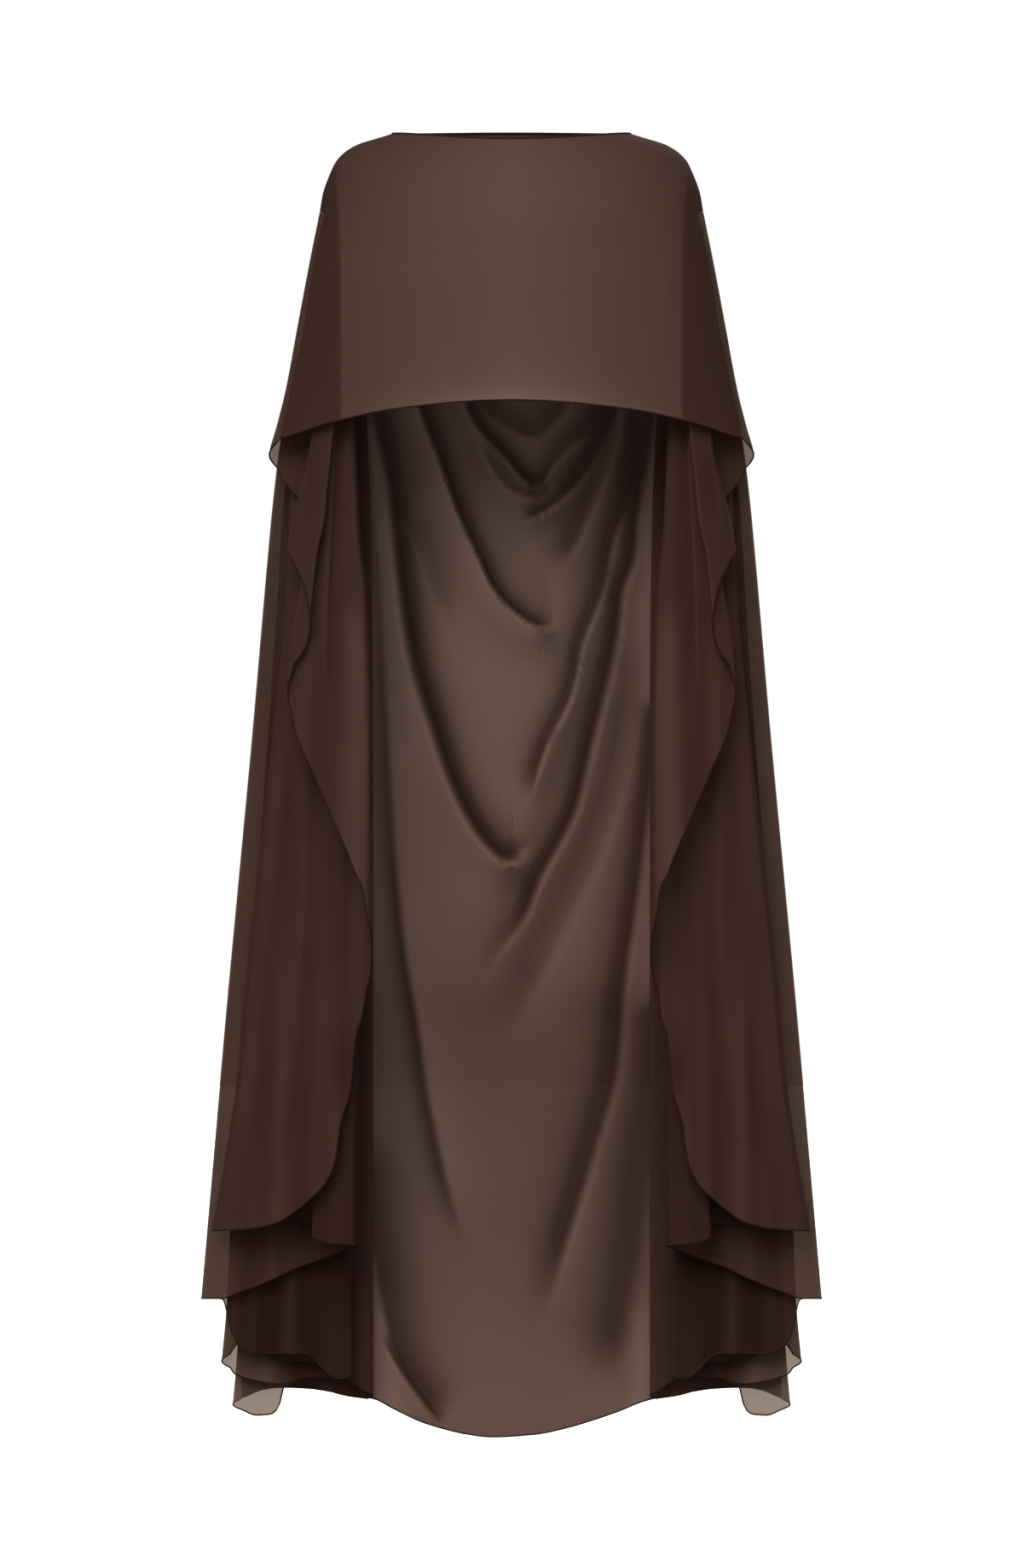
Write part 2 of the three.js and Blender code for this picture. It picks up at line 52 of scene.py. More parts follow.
MM = 0.001  # metres in a millimetre
BODY = "root"
LAYERS = 16  # layers of cloth from the front of a side cascade to its back
WING_HEM_Z = -361.0  # the front hem ends here, at the wing's corner
BACK_SIDE_HEM_Z = -1488.0  # the back's hem ends here, at its sides
GATHER_Z = -72.0  # the cascade's folds are gathered together at this height
SEAM_END_Z = -95.0  # the shoulder seam ends here and the sides part
FOLD_GROWTH = 55.0  # the outermost folds reach their full round this far below the seam
ROUND_ROOM = 0.35  # share of the narrowest ply beside it that a fold's round may take
PLAN_POWER = 2.6  # how square the plan of the worn cape is
HEM_RADIUS = 1.0  # radius of the narrow rolled hem
ROLL_RADIUS = 1.4  # radius of the roll along the neck
ROLL_END = 0.3  # share of a roll's radius that is left at its two ends
MIN_STEP = 0.05  # points of a roll's path that lie closer together than this are one
STEEP = 0.9  # a roll that rises more steeply than this takes its section from the depth
SHARP_ANGLE = math.radians(55)  # faces that meet at more than this keep a sharp edge
STACKED_SHADE = 0.8  # painted shade of cloth that other cloth backs closely, standing in for the light it holds back
SHADE_ATTRIBUTE = "cloth_painted_shade"  # attribute with the cloth's painted light and shade: 0 lit through where it hangs free, 1 darkest in a crease


class Slot(str, Enum):
    """Material slots of the record."""

    CHIFFON = "chiffon"
    ROLLED_HEM = "rolled_hem"


class Side(Enum):
    """A side of the cape as seen from the front."""

    LEFT = -1
    RIGHT = 1


@dataclass(frozen=True)
class Curve:
    """Smooth curve through rows of (place, value), which never passes beyond the rows' own values."""

    rows: tuple[tuple[float, float], ...]

    def __call__(self, place: np.ndarray | float) -> np.ndarray:
        """Value at each place: cubic pieces whose slopes are harmonic means of their neighbours'.

        Args:
            place: Places to read, held to the ends of the rows.

        Returns:
            The values, shaped as place is.
        """
        x, y = np.array(sorted(self.rows), dtype=float).T
        rise = np.diff(y) / np.diff(x)
        total = rise[:-1] + rise[1:]
        product = rise[:-1] * rise[1:]
        inner = np.where(product > 0, 2 * product / np.where(total == 0, 1, total), 0)
        slope = np.concatenate([rise[:1], inner, rise[-1:]])
        at = np.clip(np.asarray(place, dtype=float), x[0], x[-1])
        i = np.clip(np.searchsorted(x, at, side="right") - 1, 0, len(x) - 2)
        span = x[i + 1] - x[i]
        t = (at - x[i]) / span
        change = y[i + 1] - y[i]
        bend = (1 - t) * slope[i] * span - t * slope[i + 1] * span - (1 - 2 * t) * change
        return y[i] + change * t + t * (1 - t) * bend


# Half width of the worn cape in front view, from the neck over the shoulder to the floor
SILHOUETTE = Curve((
    (-2, 140), (-5, 149), (-15, 181), (-25, 197), (-35, 206), (-45, 211), (-72, 221), (-95, 225),
    (-145, 235), (-225, 250), (-305, 265), (-345, 275), (-379, 284), (-440, 288), (-545, 299),
    (-865, 328), (-1185, 357), (-1368, 373), (-1540, 386),
))
# How far the ends of the plan lie outside that half width
PLAN_ROOM = Curve(((-95, 0), (-125, 3), (-180, 9), (-260, 12), (-1540, 12)))
# Depth of the foremost and of the hindmost layer in the middle of the body
FRONT_DEPTH = Curve((
    (0, 55), (-60, 90), (-130, 108), (-220, 114), (-330, 114), (-420, 117), (-640, 135), (-940, 162),
    (-1290, 190), (-1500, 200),
))
BACK_DEPTH = Curve((
    (0, 52), (-60, 88), (-150, 108), (-330, 112), (-700, 114), (-1100, 118), (-1540, 124),
))


def plan_share(half_width: np.ndarray, z: np.ndarray) -> np.ndarray:
    """Share of the full depth at a half width: 1 in the middle of the body, 0 where the plan ends."""
    share = np.minimum(np.abs(half_width) / (SILHOUETTE(z) + PLAN_ROOM(z)), 1)
    return np.sqrt(1 - share**PLAN_POWER)


def layer_depth(layer: np.ndarray | float, half_width: np.ndarray, z: np.ndarray) -> np.ndarray:
    """Depth y of a layer, counted from 1 at the front to LAYERS at the back.

    Args:
        layer: Layer of each point.
        half_width: Distance of each point from the cape's middle.
        z: Height of each point.

    Returns:
        The depths.
    """
    share = (np.asarray(layer) - 1) / (LAYERS - 1)
    front, back = -FRONT_DEPTH(z), BACK_DEPTH(z)
    return plan_share(half_width, z) * (front + (back - front) * share)


def smooth_step(value: np.ndarray, low: float, high: float) -> np.ndarray:
    """Rises from 0 at low to 1 at high with level ends."""
    t = np.clip((value - low) / (high - low), 0, 1)
    return t * t * (3 - 2 * t)


# Ripples of the cloth: (spacing across, lean down the cloth, turn with the seed, start, height)
RIPPLES = ((61, 1900, 1.0, 0.0, 0.55), (37, -1300, 2.3, 1.1, 0.3), (23, 900, 3.7, 0.4, 0.15))


def ripples(across: np.ndarray, down: np.ndarray, seed: float) -> np.ndarray:
    """Long soft ripples of hanging chiffon, of about unit height.

    The sum of three sines of the distance across the cloth, each leaning a little as it runs down.

    Args:
        across: Distance across the cloth at each point.
        down: Distance down the cloth at each point.
        seed: Shifts the ripples, so that no two stretches are alike.

    Returns:
        The height at each point.
    """
    return sum(
        height * np.sin(2 * np.pi * (across / spacing + down / lean) + turn * seed + start)
        for spacing, lean, turn, start, height in RIPPLES
    )


@dataclass(frozen=True)
class Fold:
    """A long fold of a side cascade.

    Attributes:
        side: 1 for a fold that lies outwards, -1 for one that lies inwards.
        reach: How far it rounds in x, by height.
        path: Half width of the cape at the fold, by height.
        top: Height at which it begins.
    """

    side: int
    reach: Curve
    path: Curve
    top: float = GATHER_Z


def reaches(above: float, hem: float = 0.0, hem_z: float = -1500.0, length: float = 90.0) -> Curve:
    """How far a fold rounds in x: evenly, or opening out over a length above its hem.

    Args:
        above: Reach along the fold.
        hem: Reach at the hem, if the fold opens out there.
        hem_z: Height of the hem.
        length: Length over which it opens out.

    Returns:
        The reach by height.
    """
    return Curve(((GATHER_Z, above), (hem_z + length, above), (hem_z, hem or above)))


# The cascade's folds, with the half widths that they pass through from the gather to the hem
FOLDS: dict[str, Fold] = {
    "wing": Fold(1, reaches(3, 11, -378, 80), SILHOUETTE, SEAM_END_Z),
    "tuck": Fold(-1, reaches(4), Curve(((-72, 201), (-200, 212), (-330, 222), (-441, 236)))),
    "band_outer": Fold(1, reaches(3, 6, -490), Curve((
        (-72, 212), (-200, 222), (-330, 231), (-387, 239), (-427, 249), (-463, 258), (-489, 262),
    ))),
    "band_inner": Fold(-1, reaches(4), Curve((
        (-72, 201), (-200, 204), (-335, 207), (-407, 214), (-458, 219), (-494, 227), (-565, 235),
    ))),
    "lobe": Fold(1, reaches(3, 4, -655), Curve((
        (-72, 207), (-200, 216), (-330, 225), (-427, 237), (-478, 242), (-535, 247), (-598, 258),
        (-652, 262),
    ))),
    "inner_edge": Fold(-1, reaches(5, 8, -1010, 300), Curve((
        (-72, 195), (-155, 196), (-330, 184), (-463, 178), (-560, 168), (-705, 163), (-1010, 163),
    ))),
    "first_outer": Fold(1, reaches(4, 9, -1288), Curve((
        (-72, 212), (-200, 232), (-330, 250), (-422, 259), (-481, 262), (-580, 268), (-705, 280),
        (-851, 296), (-1022, 314), (-1112, 322), (-1199, 335), (-1288, 351),
    ))),
    "pleat_inner": Fold(-1, reaches(4), Curve(((-72, 202), (-330, 204), (-1300, 208)))),
    "pleat_outer": Fold(1, reaches(4), Curve((
        (-72, 208), (-330, 214), (-805, 220), (-1050, 227), (-1300, 234),
    ))),
    "flap_inner": Fold(-1, reaches(6), Curve((
        (-72, 196), (-330, 190), (-600, 186), (-873, 183), (-1033, 179), (-1306, 181),
    ))),
    "second_outer": Fold(1, reaches(4, 9, -1368), Curve((
        (-72, 213), (-145, 227), (-225, 243), (-305, 260), (-361, 271), (-425, 279), (-465, 283),
        (-705, 304), (-865, 319), (-1025, 334), (-1185, 348), (-1368, 364),
    ))),
    "third_inner": Fold(-1, reaches(7), Curve(((-72, 197), (-330, 193), (-700, 190), (-1458, 188)))),
    "flute_outer": Fold(1, reaches(4, 10, -1447), Curve((
        (-72, 212), (-200, 231), (-330, 255), (-402, 265), (-611, 279), (-845, 296), (-1042, 313),
        (-1143, 325), (-1368, 334), (-1447, 341),
    ))),
    "floor_inner": Fold(-1, reaches(7), Curve((
        (-72, 194), (-330, 171), (-483, 165), (-705, 163), (-1488, 163),
    ))),
    "back_outer": Fold(1, reaches(4, 10, -1495), Curve((
        (-2, 140), (-5, 149), (-15, 181), (-25, 197), (-35, 206), (-45, 211), (-72, 213), (-125, 227),
        (-225, 243), (-330, 252), (-402, 260), (-611, 273), (-845, 289), (-1042, 303), (-1143, 311),
        (-1424, 322), (-1495, 328),
    )), SEAM_END_Z),
}


@dataclass(frozen=True)
class Ply:
    """Cloth between two folds of a cascade.

    Attributes:
        layer: Layer that it lies in.
        start: Name of the fold that it starts at.
        end: Name of the fold that it ends at.
        hem: Its hem between the folds, as (half width, z) points.
        ends: Height of its hem at both folds.
    """

    layer: int
    start: str
    end: str
    hem: tuple[tuple[float, float], ...]
    ends: tuple[float, float]


# The cascade's plies in their order along the cloth, from the wing to the back panel
PLIES: tuple[Ply, ...] = (
    Ply(6, "wing", "tuck", ((269, -406), (259, -419), (249, -430)), (-394, -440)),
    Ply(5, "tuck", "band_outer", ((248, -450), (253, -462)), (-443, -478)),
    Ply(2, "band_outer", "band_inner", ((252, -511), (246, -522), (240.5, -538)), (-501, -552)),
    Ply(3, "band_inner", "lobe", ((242, -606), (249, -617), (256, -627)), (-598, -633)),
    Ply(4, "lobe", "inner_edge", (
        (252, -705), (234, -747), (212, -798), (195, -837), (184, -865), (173, -890),
    ), (-678, -914)),
    Ply(7, "inner_edge", "first_outer", (
        (175, -1036), (183, -1061), (186, -1095), (189, -1123), (196, -1146), (202, -1170),
        (205, -1200), (218, -1231), (234, -1248), (253, -1264), (271, -1276), (293, -1283), (320, -1286),
    ), (-1010, -1287)),
    Ply(10, "first_outer", "pleat_inner", ((296, -1283), (261, -1280), (233, -1279)), (-1288, -1282)),
    Ply(9, "pleat_inner", "pleat_outer", ((221, -1288),), (-1284, -1292)),
    Ply(8, "pleat_outer", "flap_inner", ((223, -1300), (205, -1302)), (-1296, -1304)),
    Ply(11, "flap_inner", "second_outer", (
        (196, -1312), (223, -1322), (250, -1331), (275, -1343), (296, -1352), (321, -1361), (340, -1368),
    ), (-1308, -1368)),
    Ply(12, "second_outer", "third_inner", (
        (345, -1368), (338, -1370), (334, -1384), (331, -1400), (323, -1420), (316, -1427),
        (304, -1432), (275, -1433), (243, -1433), (234, -1437), (225, -1447), (214, -1457), (204, -1463),
    ), (-1368, -1461)),
    Ply(13, "third_inner", "flute_outer", (
        (205, -1450), (237, -1443), (273, -1441), (300, -1430), (322, -1422),
    ), (-1455, -1434)),
    Ply(14, "flute_outer", "floor_inner", (
        (325, -1458), (300, -1466), (272, -1470), (240, -1462), (200, -1462),
    ), (-1450, -1480)),
    Ply(15, "floor_inner", "back_outer", (
        (196, -1484), (214, -1479), (232, -1474), (254, -1473), (269, -1475), (274, -1498),
        (284, -1506), (300, -1507),
    ), (-1488, -1500)),
)


def rounding(name: str, z: np.ndarray) -> np.ndarray:
    """How far a fold rounds in x at each height.

    It is the fold's reach there, less where the plies beside it are narrow, and it grows smoothly from
    nothing at the end of the shoulder seam.

    Args:
        name: Name of the fold.
        z: Heights.

    Returns:
        The round's reach at each height.
    """
    rooms = [
        np.abs(FOLDS[ply.start].path(z) - FOLDS[ply.end].path(z))
        for ply in PLIES
        if name in (ply.start, ply.end)
    ]
    grown = smooth_step(-z, -SEAM_END_Z, FOLD_GROWTH - SEAM_END_Z) if FOLDS[name].top < GATHER_Z else 1
    return np.minimum(FOLDS[name].reach(z), ROUND_ROOM * np.min(rooms, axis=0)) * grown


def fold_foot(name: str, z: np.ndarray) -> np.ndarray:
    """Half width at which a fold's round meets its plies, at each height."""
    return FOLDS[name].path(z) - FOLDS[name].side * rounding(name, z)


@dataclass(frozen=True)
class Swag:
    """A soft fold of the back: a trough that falls back along a run, and a crest beside it.

    A run down the left, round the bottom or up the right has its crest on the outer, lower side.

    Attributes:
        run: Points (x, z) that the trough passes through.
        width: Half width of the trough at the run's start and end.
        trough: How far the cloth falls back.
        crest: How far it stands towards the front.
        shade: Painted shade that darkens the crease at the trough's foot, from 0 to 1, or a
        painted highlight where it is less than 0.
        crisp: How soft the step from trough to crest is, in widths.
        fades: Length over which the fold rises at its start and dies away at its end.
        spread: How far the slopes on both sides run out, in widths.
        crease: How far the painted shade reaches on the inner side, in widths.
        samples: Points worked out along the run.
        step_from: Where the step from trough to crest begins, in crisp widths.
        step_to: Where it ends.
    """

    run: tuple[tuple[float, float], ...]
    width: tuple[float, float]
    trough: float
    crest: float
    shade: float
    crisp: float = 0.9
    fades: tuple[float, float] = (40.0, 70.0)
    spread: float = 3.2
    crease: float = 1.7
    samples: int = 110
    step_from: float = -0.4
    step_to: float = 1.6

    def profile(self, x: np.ndarray, z: np.ndarray) -> tuple[np.ndarray, np.ndarray, np.ndarray]:
        """Trough, crest and crease of unit height at each place.

        By the signed distance to the nearest place on the run, a soft step parts trough from crest,
        and both run out beside it as half a bell curve. The crease, which carries the painted shade, is
        a narrow bell curve at the trough's foot. All are scaled by the run's strength there, which dies
        away past its ends.

        Args:
            x: Points' x.
            z: Points' z.

        Returns:
            The trough's, the crest's and the crease's height at each point.
        """
        points = np.array(self.run, dtype=float)
        along = np.concatenate([[0], np.cumsum(np.hypot(*np.diff(points, axis=0).T))])
        at = np.linspace(0, along[-1], self.samples)
        knots = np.column_stack([spline(along, points[:, axis], at) for axis in (0, 1)])
        direction = np.gradient(knots, axis=0)
        direction /= np.linalg.norm(direction, axis=1, keepdims=True)
        rise = smooth_step(at, 0, self.fades[0])
        strength = rise * (1 - smooth_step(at, along[-1] - self.fades[1], along[-1]))
        away = np.stack([x.ravel(), z.ravel()], axis=1)[:, None] - knots[None]
        near = np.argmin((away**2).sum(axis=2), axis=1)
        rest = away[np.arange(len(near)), near]
        d, half = direction[near], at[1] / 2
        ahead = np.clip((rest * d).sum(axis=1), -half, half)
        rest -= ahead[:, None] * d
        place = at[near] + ahead
        sign = np.where(rest[:, 0] * d[:, 1] > rest[:, 1] * d[:, 0], 1, -1)
        beside = sign * np.hypot(*rest.T) / np.interp(place, [0, along[-1]], self.width)
        power = np.interp(place, at, strength)
        step = smooth_step(beside, self.step_from * self.crisp, self.step_to * self.crisp)
        slope = np.exp(-((beside / self.spread) ** 2))
        crease = np.exp(-(beside / np.where(beside > 0, self.crisp, self.crease)) ** 2)
        parts = (power * (1 - step) * slope, power * step * slope, power * crease)
        return tuple(part.reshape(x.shape) for part in parts)


def spline(places: np.ndarray, values: np.ndarray, at: np.ndarray) -> np.ndarray:
    """Natural cubic spline through values at places, read at the given places.

    Args:
        places: Places of the knots, rising.
        values: Values at the knots.
        at: Places to read.

    Returns:
        The spline's values.
    """
    count = len(places)
    step = np.diff(places)
    matrix = np.eye(count)
    target = np.zeros(count)
    inner = np.arange(1, count - 1)
    matrix[inner, inner - 1] = step[:-1]
    matrix[inner, inner] = 2 * (step[:-1] + step[1:])
    matrix[inner, inner + 1] = step[1:]
    rise = np.diff(values) / step
    target[inner] = 6 * np.diff(rise)
    second = np.linalg.solve(matrix, target)
    i = np.clip(np.searchsorted(places, at, side="right") - 1, 0, count - 2)
    right = (at - places[i]) / step[i]
    left = 1 - right
    curve = (left**3 - left) * second[i] + (right**3 - right) * second[i + 1]
    return left * values[i] + right * values[i + 1] + curve * step[i] ** 2 / 6


# The back's swags, from the neck down, with painted shade in their creases; those whose shade is below 0
# paint a light patch
SWAGS: tuple[Swag, ...] = (
    Swag(
        ((-92, -165), (-58, -250), (-36, -300), (-22, -325), (2, -341), (26, -349), (42, -338),
         (58, -318), (70, -290), (96, -220)),
        width=(13, 13), trough=6, crest=6, shade=0.6, crisp=0.6, fades=(130, 100),
    ),
    Swag(
        ((-112, -125), (-78, -210), (-56, -285), (-46, -325), (-26, -355), (0, -383), (15, -401),
         (33, -415)),
        width=(17, 5), trough=12, crest=9, shade=0.9, crisp=0.6, fades=(170, 12),
    ),
    Swag(
        ((30, -417), (40, -394), (55, -374), (75, -356), (96, -343), (107, -323), (118, -290),
         (128, -210), (136, -110)),
        width=(5, 16), trough=9, crest=9, shade=0.6, crisp=0.9, fades=(10, 190),
    ),
    Swag(
        ((-42, -350), (-20, -388), (-3, -411), (20, -423), (31, -425), (43, -416), (56, -402)),
        width=(8, 8), trough=7, crest=8, shade=0.5, crisp=0.6, fades=(40, 30),
    ),
    Swag(
        ((6, -455), (31, -443), (53, -428), (71, -410), (87, -388), (102, -361), (118, -327),
         (130, -290), (143, -200), (152, -100)),
        width=(5, 18), trough=10, crest=10, shade=0.85, crisp=0.7, fades=(25, 200),
    ),
    Swag(
        ((-140, -95), (-130, -180), (-114, -275), (-103, -325), (-87, -367), (-72, -410), (-54, -457),
         (-36, -495), (-14, -539), (9, -562), (31, -575), (58, -576)),
        width=(17, 11), trough=14, crest=20, shade=0.85, crisp=0.3, fades=(190, 30), crease=1.2,
    ),
    Swag(
        ((44, -519), (62, -490), (76, -461), (93, -421), (111, -372), (122, -330), (132, -285)),
        width=(11, 12), trough=10, crest=9, shade=0.65, crisp=0.9, fades=(50, 90),
    ),
    Swag(
        ((-123, -439), (-110, -466), (-92, -519), (-81, -557), (-70, -595)),
        width=(9, 9), trough=6, crest=6, shade=0.35,
    ),
    Swag(
        ((15, -793), (26, -751), (43, -706), (63, -667), (71, -640), (79, -600), (94, -560),
         (108, -515), (116, -475), (131, -435), (141, -395), (147, -345), (150, -290), (157, -200),
         (162, -105)),
        width=(7, 12), trough=9, crest=11, shade=0.8, crisp=0.6, fades=(50, 190),
    ),
    Swag(
        ((-172, -100), (-168, -185), (-162, -275), (-157, -327), (-141, -399), (-132, -472),
         (-123, -546), (-105, -640), (-89, -690), (-72, -743), (-44, -805), (-24, -833), (-2, -849),
         (24, -834)),
        width=(16, 9), trough=16, crest=17, shade=0.95, crisp=0.8, fades=(190, 35),
    ),
    Swag(
        ((-47, -1018), (-35, -990), (-16, -953), (4, -928), (26, -878), (49, -835), (69, -793),
         (83, -737), (97, -681), (107, -640), (120, -573), (127, -528), (136, -506), (142, -461),
         (151, -405), (163, -330), (166, -285), (170, -195), (173, -100)),
        width=(9, 13), trough=16, crest=17, shade=0.95, crisp=0.8, fades=(150, 190), crease=1.3,
    ),
    Swag(
        ((-25, -1085), (-10, -1046), (4, -1018), (26, -976), (54, -920), (83, -864), (105, -807),
         (122, -751), (133, -695), (144, -625), (152, -565)),
        width=(18, 14), trough=9, crest=8, shade=0.45, crisp=1.0, fades=(110, 80),
    ),
    Swag(
        ((21, -1421), (34, -1383), (50, -1325), (66, -1274), (82, -1223), (101, -1160), (114, -1115),
         (122, -1046), (130, -976), (139, -920), (147, -864), (156, -793), (164, -718), (170, -645)),
        width=(13, 10), trough=12, crest=13, shade=0.85, crisp=0.8, fades=(140, 50),
    ),
    Swag(
        ((100, -1495), (110, -1459), (123, -1396), (136, -1332), (149, -1236), (165, -1141),
         (174, -1061), (178, -995)),
        width=(22, 26), trough=12, crest=6, shade=0.75, crisp=1.0, fades=(90, 60),
    ),
    Swag(
        ((-58, -1330), (-66, -1290), (-78, -1252), (-93, -1188), (-106, -1125), (-115, -1060),
         (-128, -985), (-138, -905), (-146, -800), (-151, -700), (-156, -590), (-165, -440),
         (-172, -330), (-176, -210), (-178, -110)),
        width=(14, 9), trough=4, crest=8, shade=0.6, crisp=0.5, fades=(120, 220), crease=1.0,
    ),
    Swag(
        ((-151, -900), (-155, -821), (-159, -740), (-163, -645)),
        width=(3, 3), trough=0, crest=3, shade=0, crisp=1.0, fades=(60, 40),
    ),
    Swag(
        ((-178, -1160), (-172, -1220), (-163, -1290), (-153, -1345), (-141, -1405), (-123, -1453),
         (-98, -1491), (-76, -1521)),
        width=(16, 11), trough=10, crest=7, shade=0.7, crisp=0.6, fades=(80, 40), crease=2.3,
    ),
    Swag(
        ((-152, -1340), (-154, -1420), (-146, -1530)),
        width=(9, 12), trough=0, crest=2, shade=-0.5, crisp=1.2, fades=(70, 30),
    ),
    Swag(
        ((152, -1340), (154, -1420), (148, -1530)),
        width=(9, 12), trough=0, crest=2, shade=-0.4, crisp=1.2, fades=(90, 30),
    ),
    Swag(
        ((-156, -1405), (-148, -1424), (-129, -1456), (-106, -1488), (-78, -1523)),
        width=(5, 5), trough=4, crest=3, shade=0.7, crisp=0.4, fades=(25, 20),
    ),
)


# Painted shade of the cascades' cloth by layer: darker where the plies of the pleat and the under fall lie
# close together and shade each other
LAYER_SHADE = Curve((
    (1, STACKED_SHADE), (7, STACKED_SHADE), (8, 0.93), (10, 0.93), (11, STACKED_SHADE), (12, 0.97), (13, 0.88), (16, 0.84),
))
FREE_LAYERS = (13.2, 14.0)  # layers between which the flutes at the back's side come free
FREE_FLUTE = (252.0, 278.0)  # half widths between which they come free
FREE_SHARE = 0.3  # how much lighter their painted shade is there, where light comes through

# Soft creases within the cascades' plies, by layer, with runs of (half width, z); their shade is painted
# shade, or a painted highlight band where it is below 0
CREASES: dict[int, tuple[Swag, ...]] = {
    2: (
        Swag(
            ((243, -470), (236, -400), (228, -330), (222, -270)),
            width=(7, 5), trough=2, crest=2, shade=0.25, crisp=0.9, fades=(30, 30),
        ),
    ),
    4: (
        Swag(
            ((213, -690), (213, -637), (210, -509), (205, -407), (204, -280)),
            width=(5, 4), trough=2.5, crest=3, shade=0.4, crisp=0.7, fades=(90, 30),
        ),
        Swag(
            ((184, -900), (182, -760), (181, -640), (186, -540)),
            width=(8, 7), trough=0, crest=2, shade=-0.8, crisp=1.2, fades=(20, 60),
        ),
    ),
    7: (
        Swag(
            ((193, -1090), (189, -980), (184, -880), (182, -760)),
            width=(10, 8), trough=0, crest=2, shade=-0.7, crisp=1.2, fades=(60, 60),
        ),
        Swag(
            ((196, -1165), (201, -1090), (203, -1000), (208, -900), (212, -780)),
            width=(17, 12), trough=4, crest=2, shade=0.45, crisp=0.9, fades=(60, 90),
        ),
        Swag(
            ((300, -1240), (285, -1100), (275, -960), (262, -800), (252, -660)),
            width=(14, 9), trough=4, crest=4, shade=0.25, crisp=1.0, fades=(120, 150),
        ),
        Swag(
            ((262, -1230), (248, -1120), (240, -1000), (232, -880)),
            width=(12, 8), trough=3, crest=3, shade=0.18, crisp=1.0, fades=(120, 120),
        ),
    ),
}


def layer_shade(layer: np.ndarray | float, half_width: np.ndarray) -> np.ndarray:
    """Painted shade of a cascade's cloth, lighter in the outer flutes of its last plies, which hang free.

    Args:
        layer: Layer of each point.
        half_width: Distance of each point from the cape's middle.

    Returns:
        The painted shade.
    """
    free = smooth_step(np.asarray(layer), *FREE_LAYERS) * smooth_step(half_width, *FREE_FLUTE)
    return LAYER_SHADE(layer) - FREE_SHARE * free


@dataclass(frozen=True)
class Cloth:
    """A sheet of cloth as a grid of points.

    Attributes:
        points: Points [column, row, xyz] in millimetres.
        density: Painted light and shade at each point, standing in for the light that comes
        through the cloth: 0 where it hangs free, the stacked shade where other cloth lies close
        behind, and 1 in a gathered crease.
    """

    points: np.ndarray
    density: np.ndarray

    def normals(self) -> np.ndarray:
        """Unit normals: the cross product of the directions across and down at each point.

        Returns:
            The normals [column, row, xyz].
        """
        across = np.gradient(self.points, axis=0)
        down = np.gradient(self.points, axis=1)
        normal = np.cross(across, down)
        return normal / np.maximum(np.linalg.norm(normal, axis=2, keepdims=True), 1e-9)

    def weave(self) -> np.ndarray:
        """Place of each point on the flat cloth: lengths along the middle row and each column.

        Returns:
            The places [column, row] in metres, as (across, down).
        """
        middle = self.points[:, self.points.shape[1] // 2]
        across = np.concatenate([[0], np.cumsum(np.linalg.norm(np.diff(middle, axis=0), axis=1))])
        steps = np.linalg.norm(np.diff(self.points, axis=1), axis=2)
        down = np.concatenate([np.zeros((len(steps), 1)), np.cumsum(steps, axis=1)], axis=1)
        return np.stack([np.broadcast_to(across[:, None], down.shape), down], axis=2) * MM

    def shell(self, name: str, thickness: float) -> bpy.types.Object:
        """Closed shell of even thickness around the grid, with rims along all four borders.

        Args:
            name: Name of the new piece.
            thickness: Thickness of the cloth in millimetres.

        Returns:
            The piece.
        """
        columns, rows = self.points.shape[:2]
        offset = self.normals() * thickness / 2
        points = np.concatenate([
            (self.points + offset).reshape(-1, 3), (self.points - offset).reshape(-1, 3)
        ])
        index = np.arange(columns * rows).reshape(columns, rows)
        other = index + columns * rows
        a, b, c, d = index[:-1, :-1], index[1:, :-1], index[1:, 1:], index[:-1, 1:]
        e, f, g, h = other[:-1, :-1], other[1:, :-1], other[1:, 1:], other[:-1, 1:]
        rims = [
            (index[:-1, 0], other[:-1, 0], other[1:, 0], index[1:, 0]),
            (index[:-1, -1], index[1:, -1], other[1:, -1], other[:-1, -1]),
            (index[0, :-1], index[0, 1:], other[0, 1:], other[0, :-1]),
            (index[-1, :-1], other[-1, :-1], other[-1, 1:], index[-1, 1:]),
        ]
        faces = np.concatenate(
            [np.stack(quad, axis=-1).reshape(-1, 4) for quad in [(a, b, c, d), (e, h, g, f), *rims]]
        )
        place = self.weave().reshape(-1, 2)
        piece = make_mesh(name, points * MM, faces, np.concatenate([place, place]))
        # The painted light and shade goes to the material as a point attribute
        density = np.tile(self.density.ravel(), 2).astype(np.float32)
        piece.data.attributes.new(SHADE_ATTRIBUTE, "FLOAT", "POINT").data.foreach_set("value", density)
        return piece


def make_mesh(
    name: str, points: np.ndarray, faces: np.ndarray, place: np.ndarray | None = None
) -> bpy.types.Object:
    """Makes a smooth mesh object of quads, with the flat cloth's places as its UV map.

    Args:
        name: Name of the new piece.
        points: Vertices in metres.
        faces: Vertex numbers of each quad.
        place: UV place of each vertex, if the piece has a weave.

    Returns:
        The new object, linked to the scene.
    """
    mesh = bpy.data.meshes.new(name)
    mesh.from_pydata(points.tolist(), [], faces.tolist())
    if place is not None:
        layer = mesh.uv_layers.new(name="weave")
        layer.data.foreach_set("uv", place[faces.ravel()].ravel().astype(np.float32))
    mesh.shade_smooth()
    mesh.set_sharp_from_angle(angle=SHARP_ANGLE)
    obj = bpy.data.objects.new(name, mesh)
    bpy.context.scene.collection.objects.link(obj)
    return obj


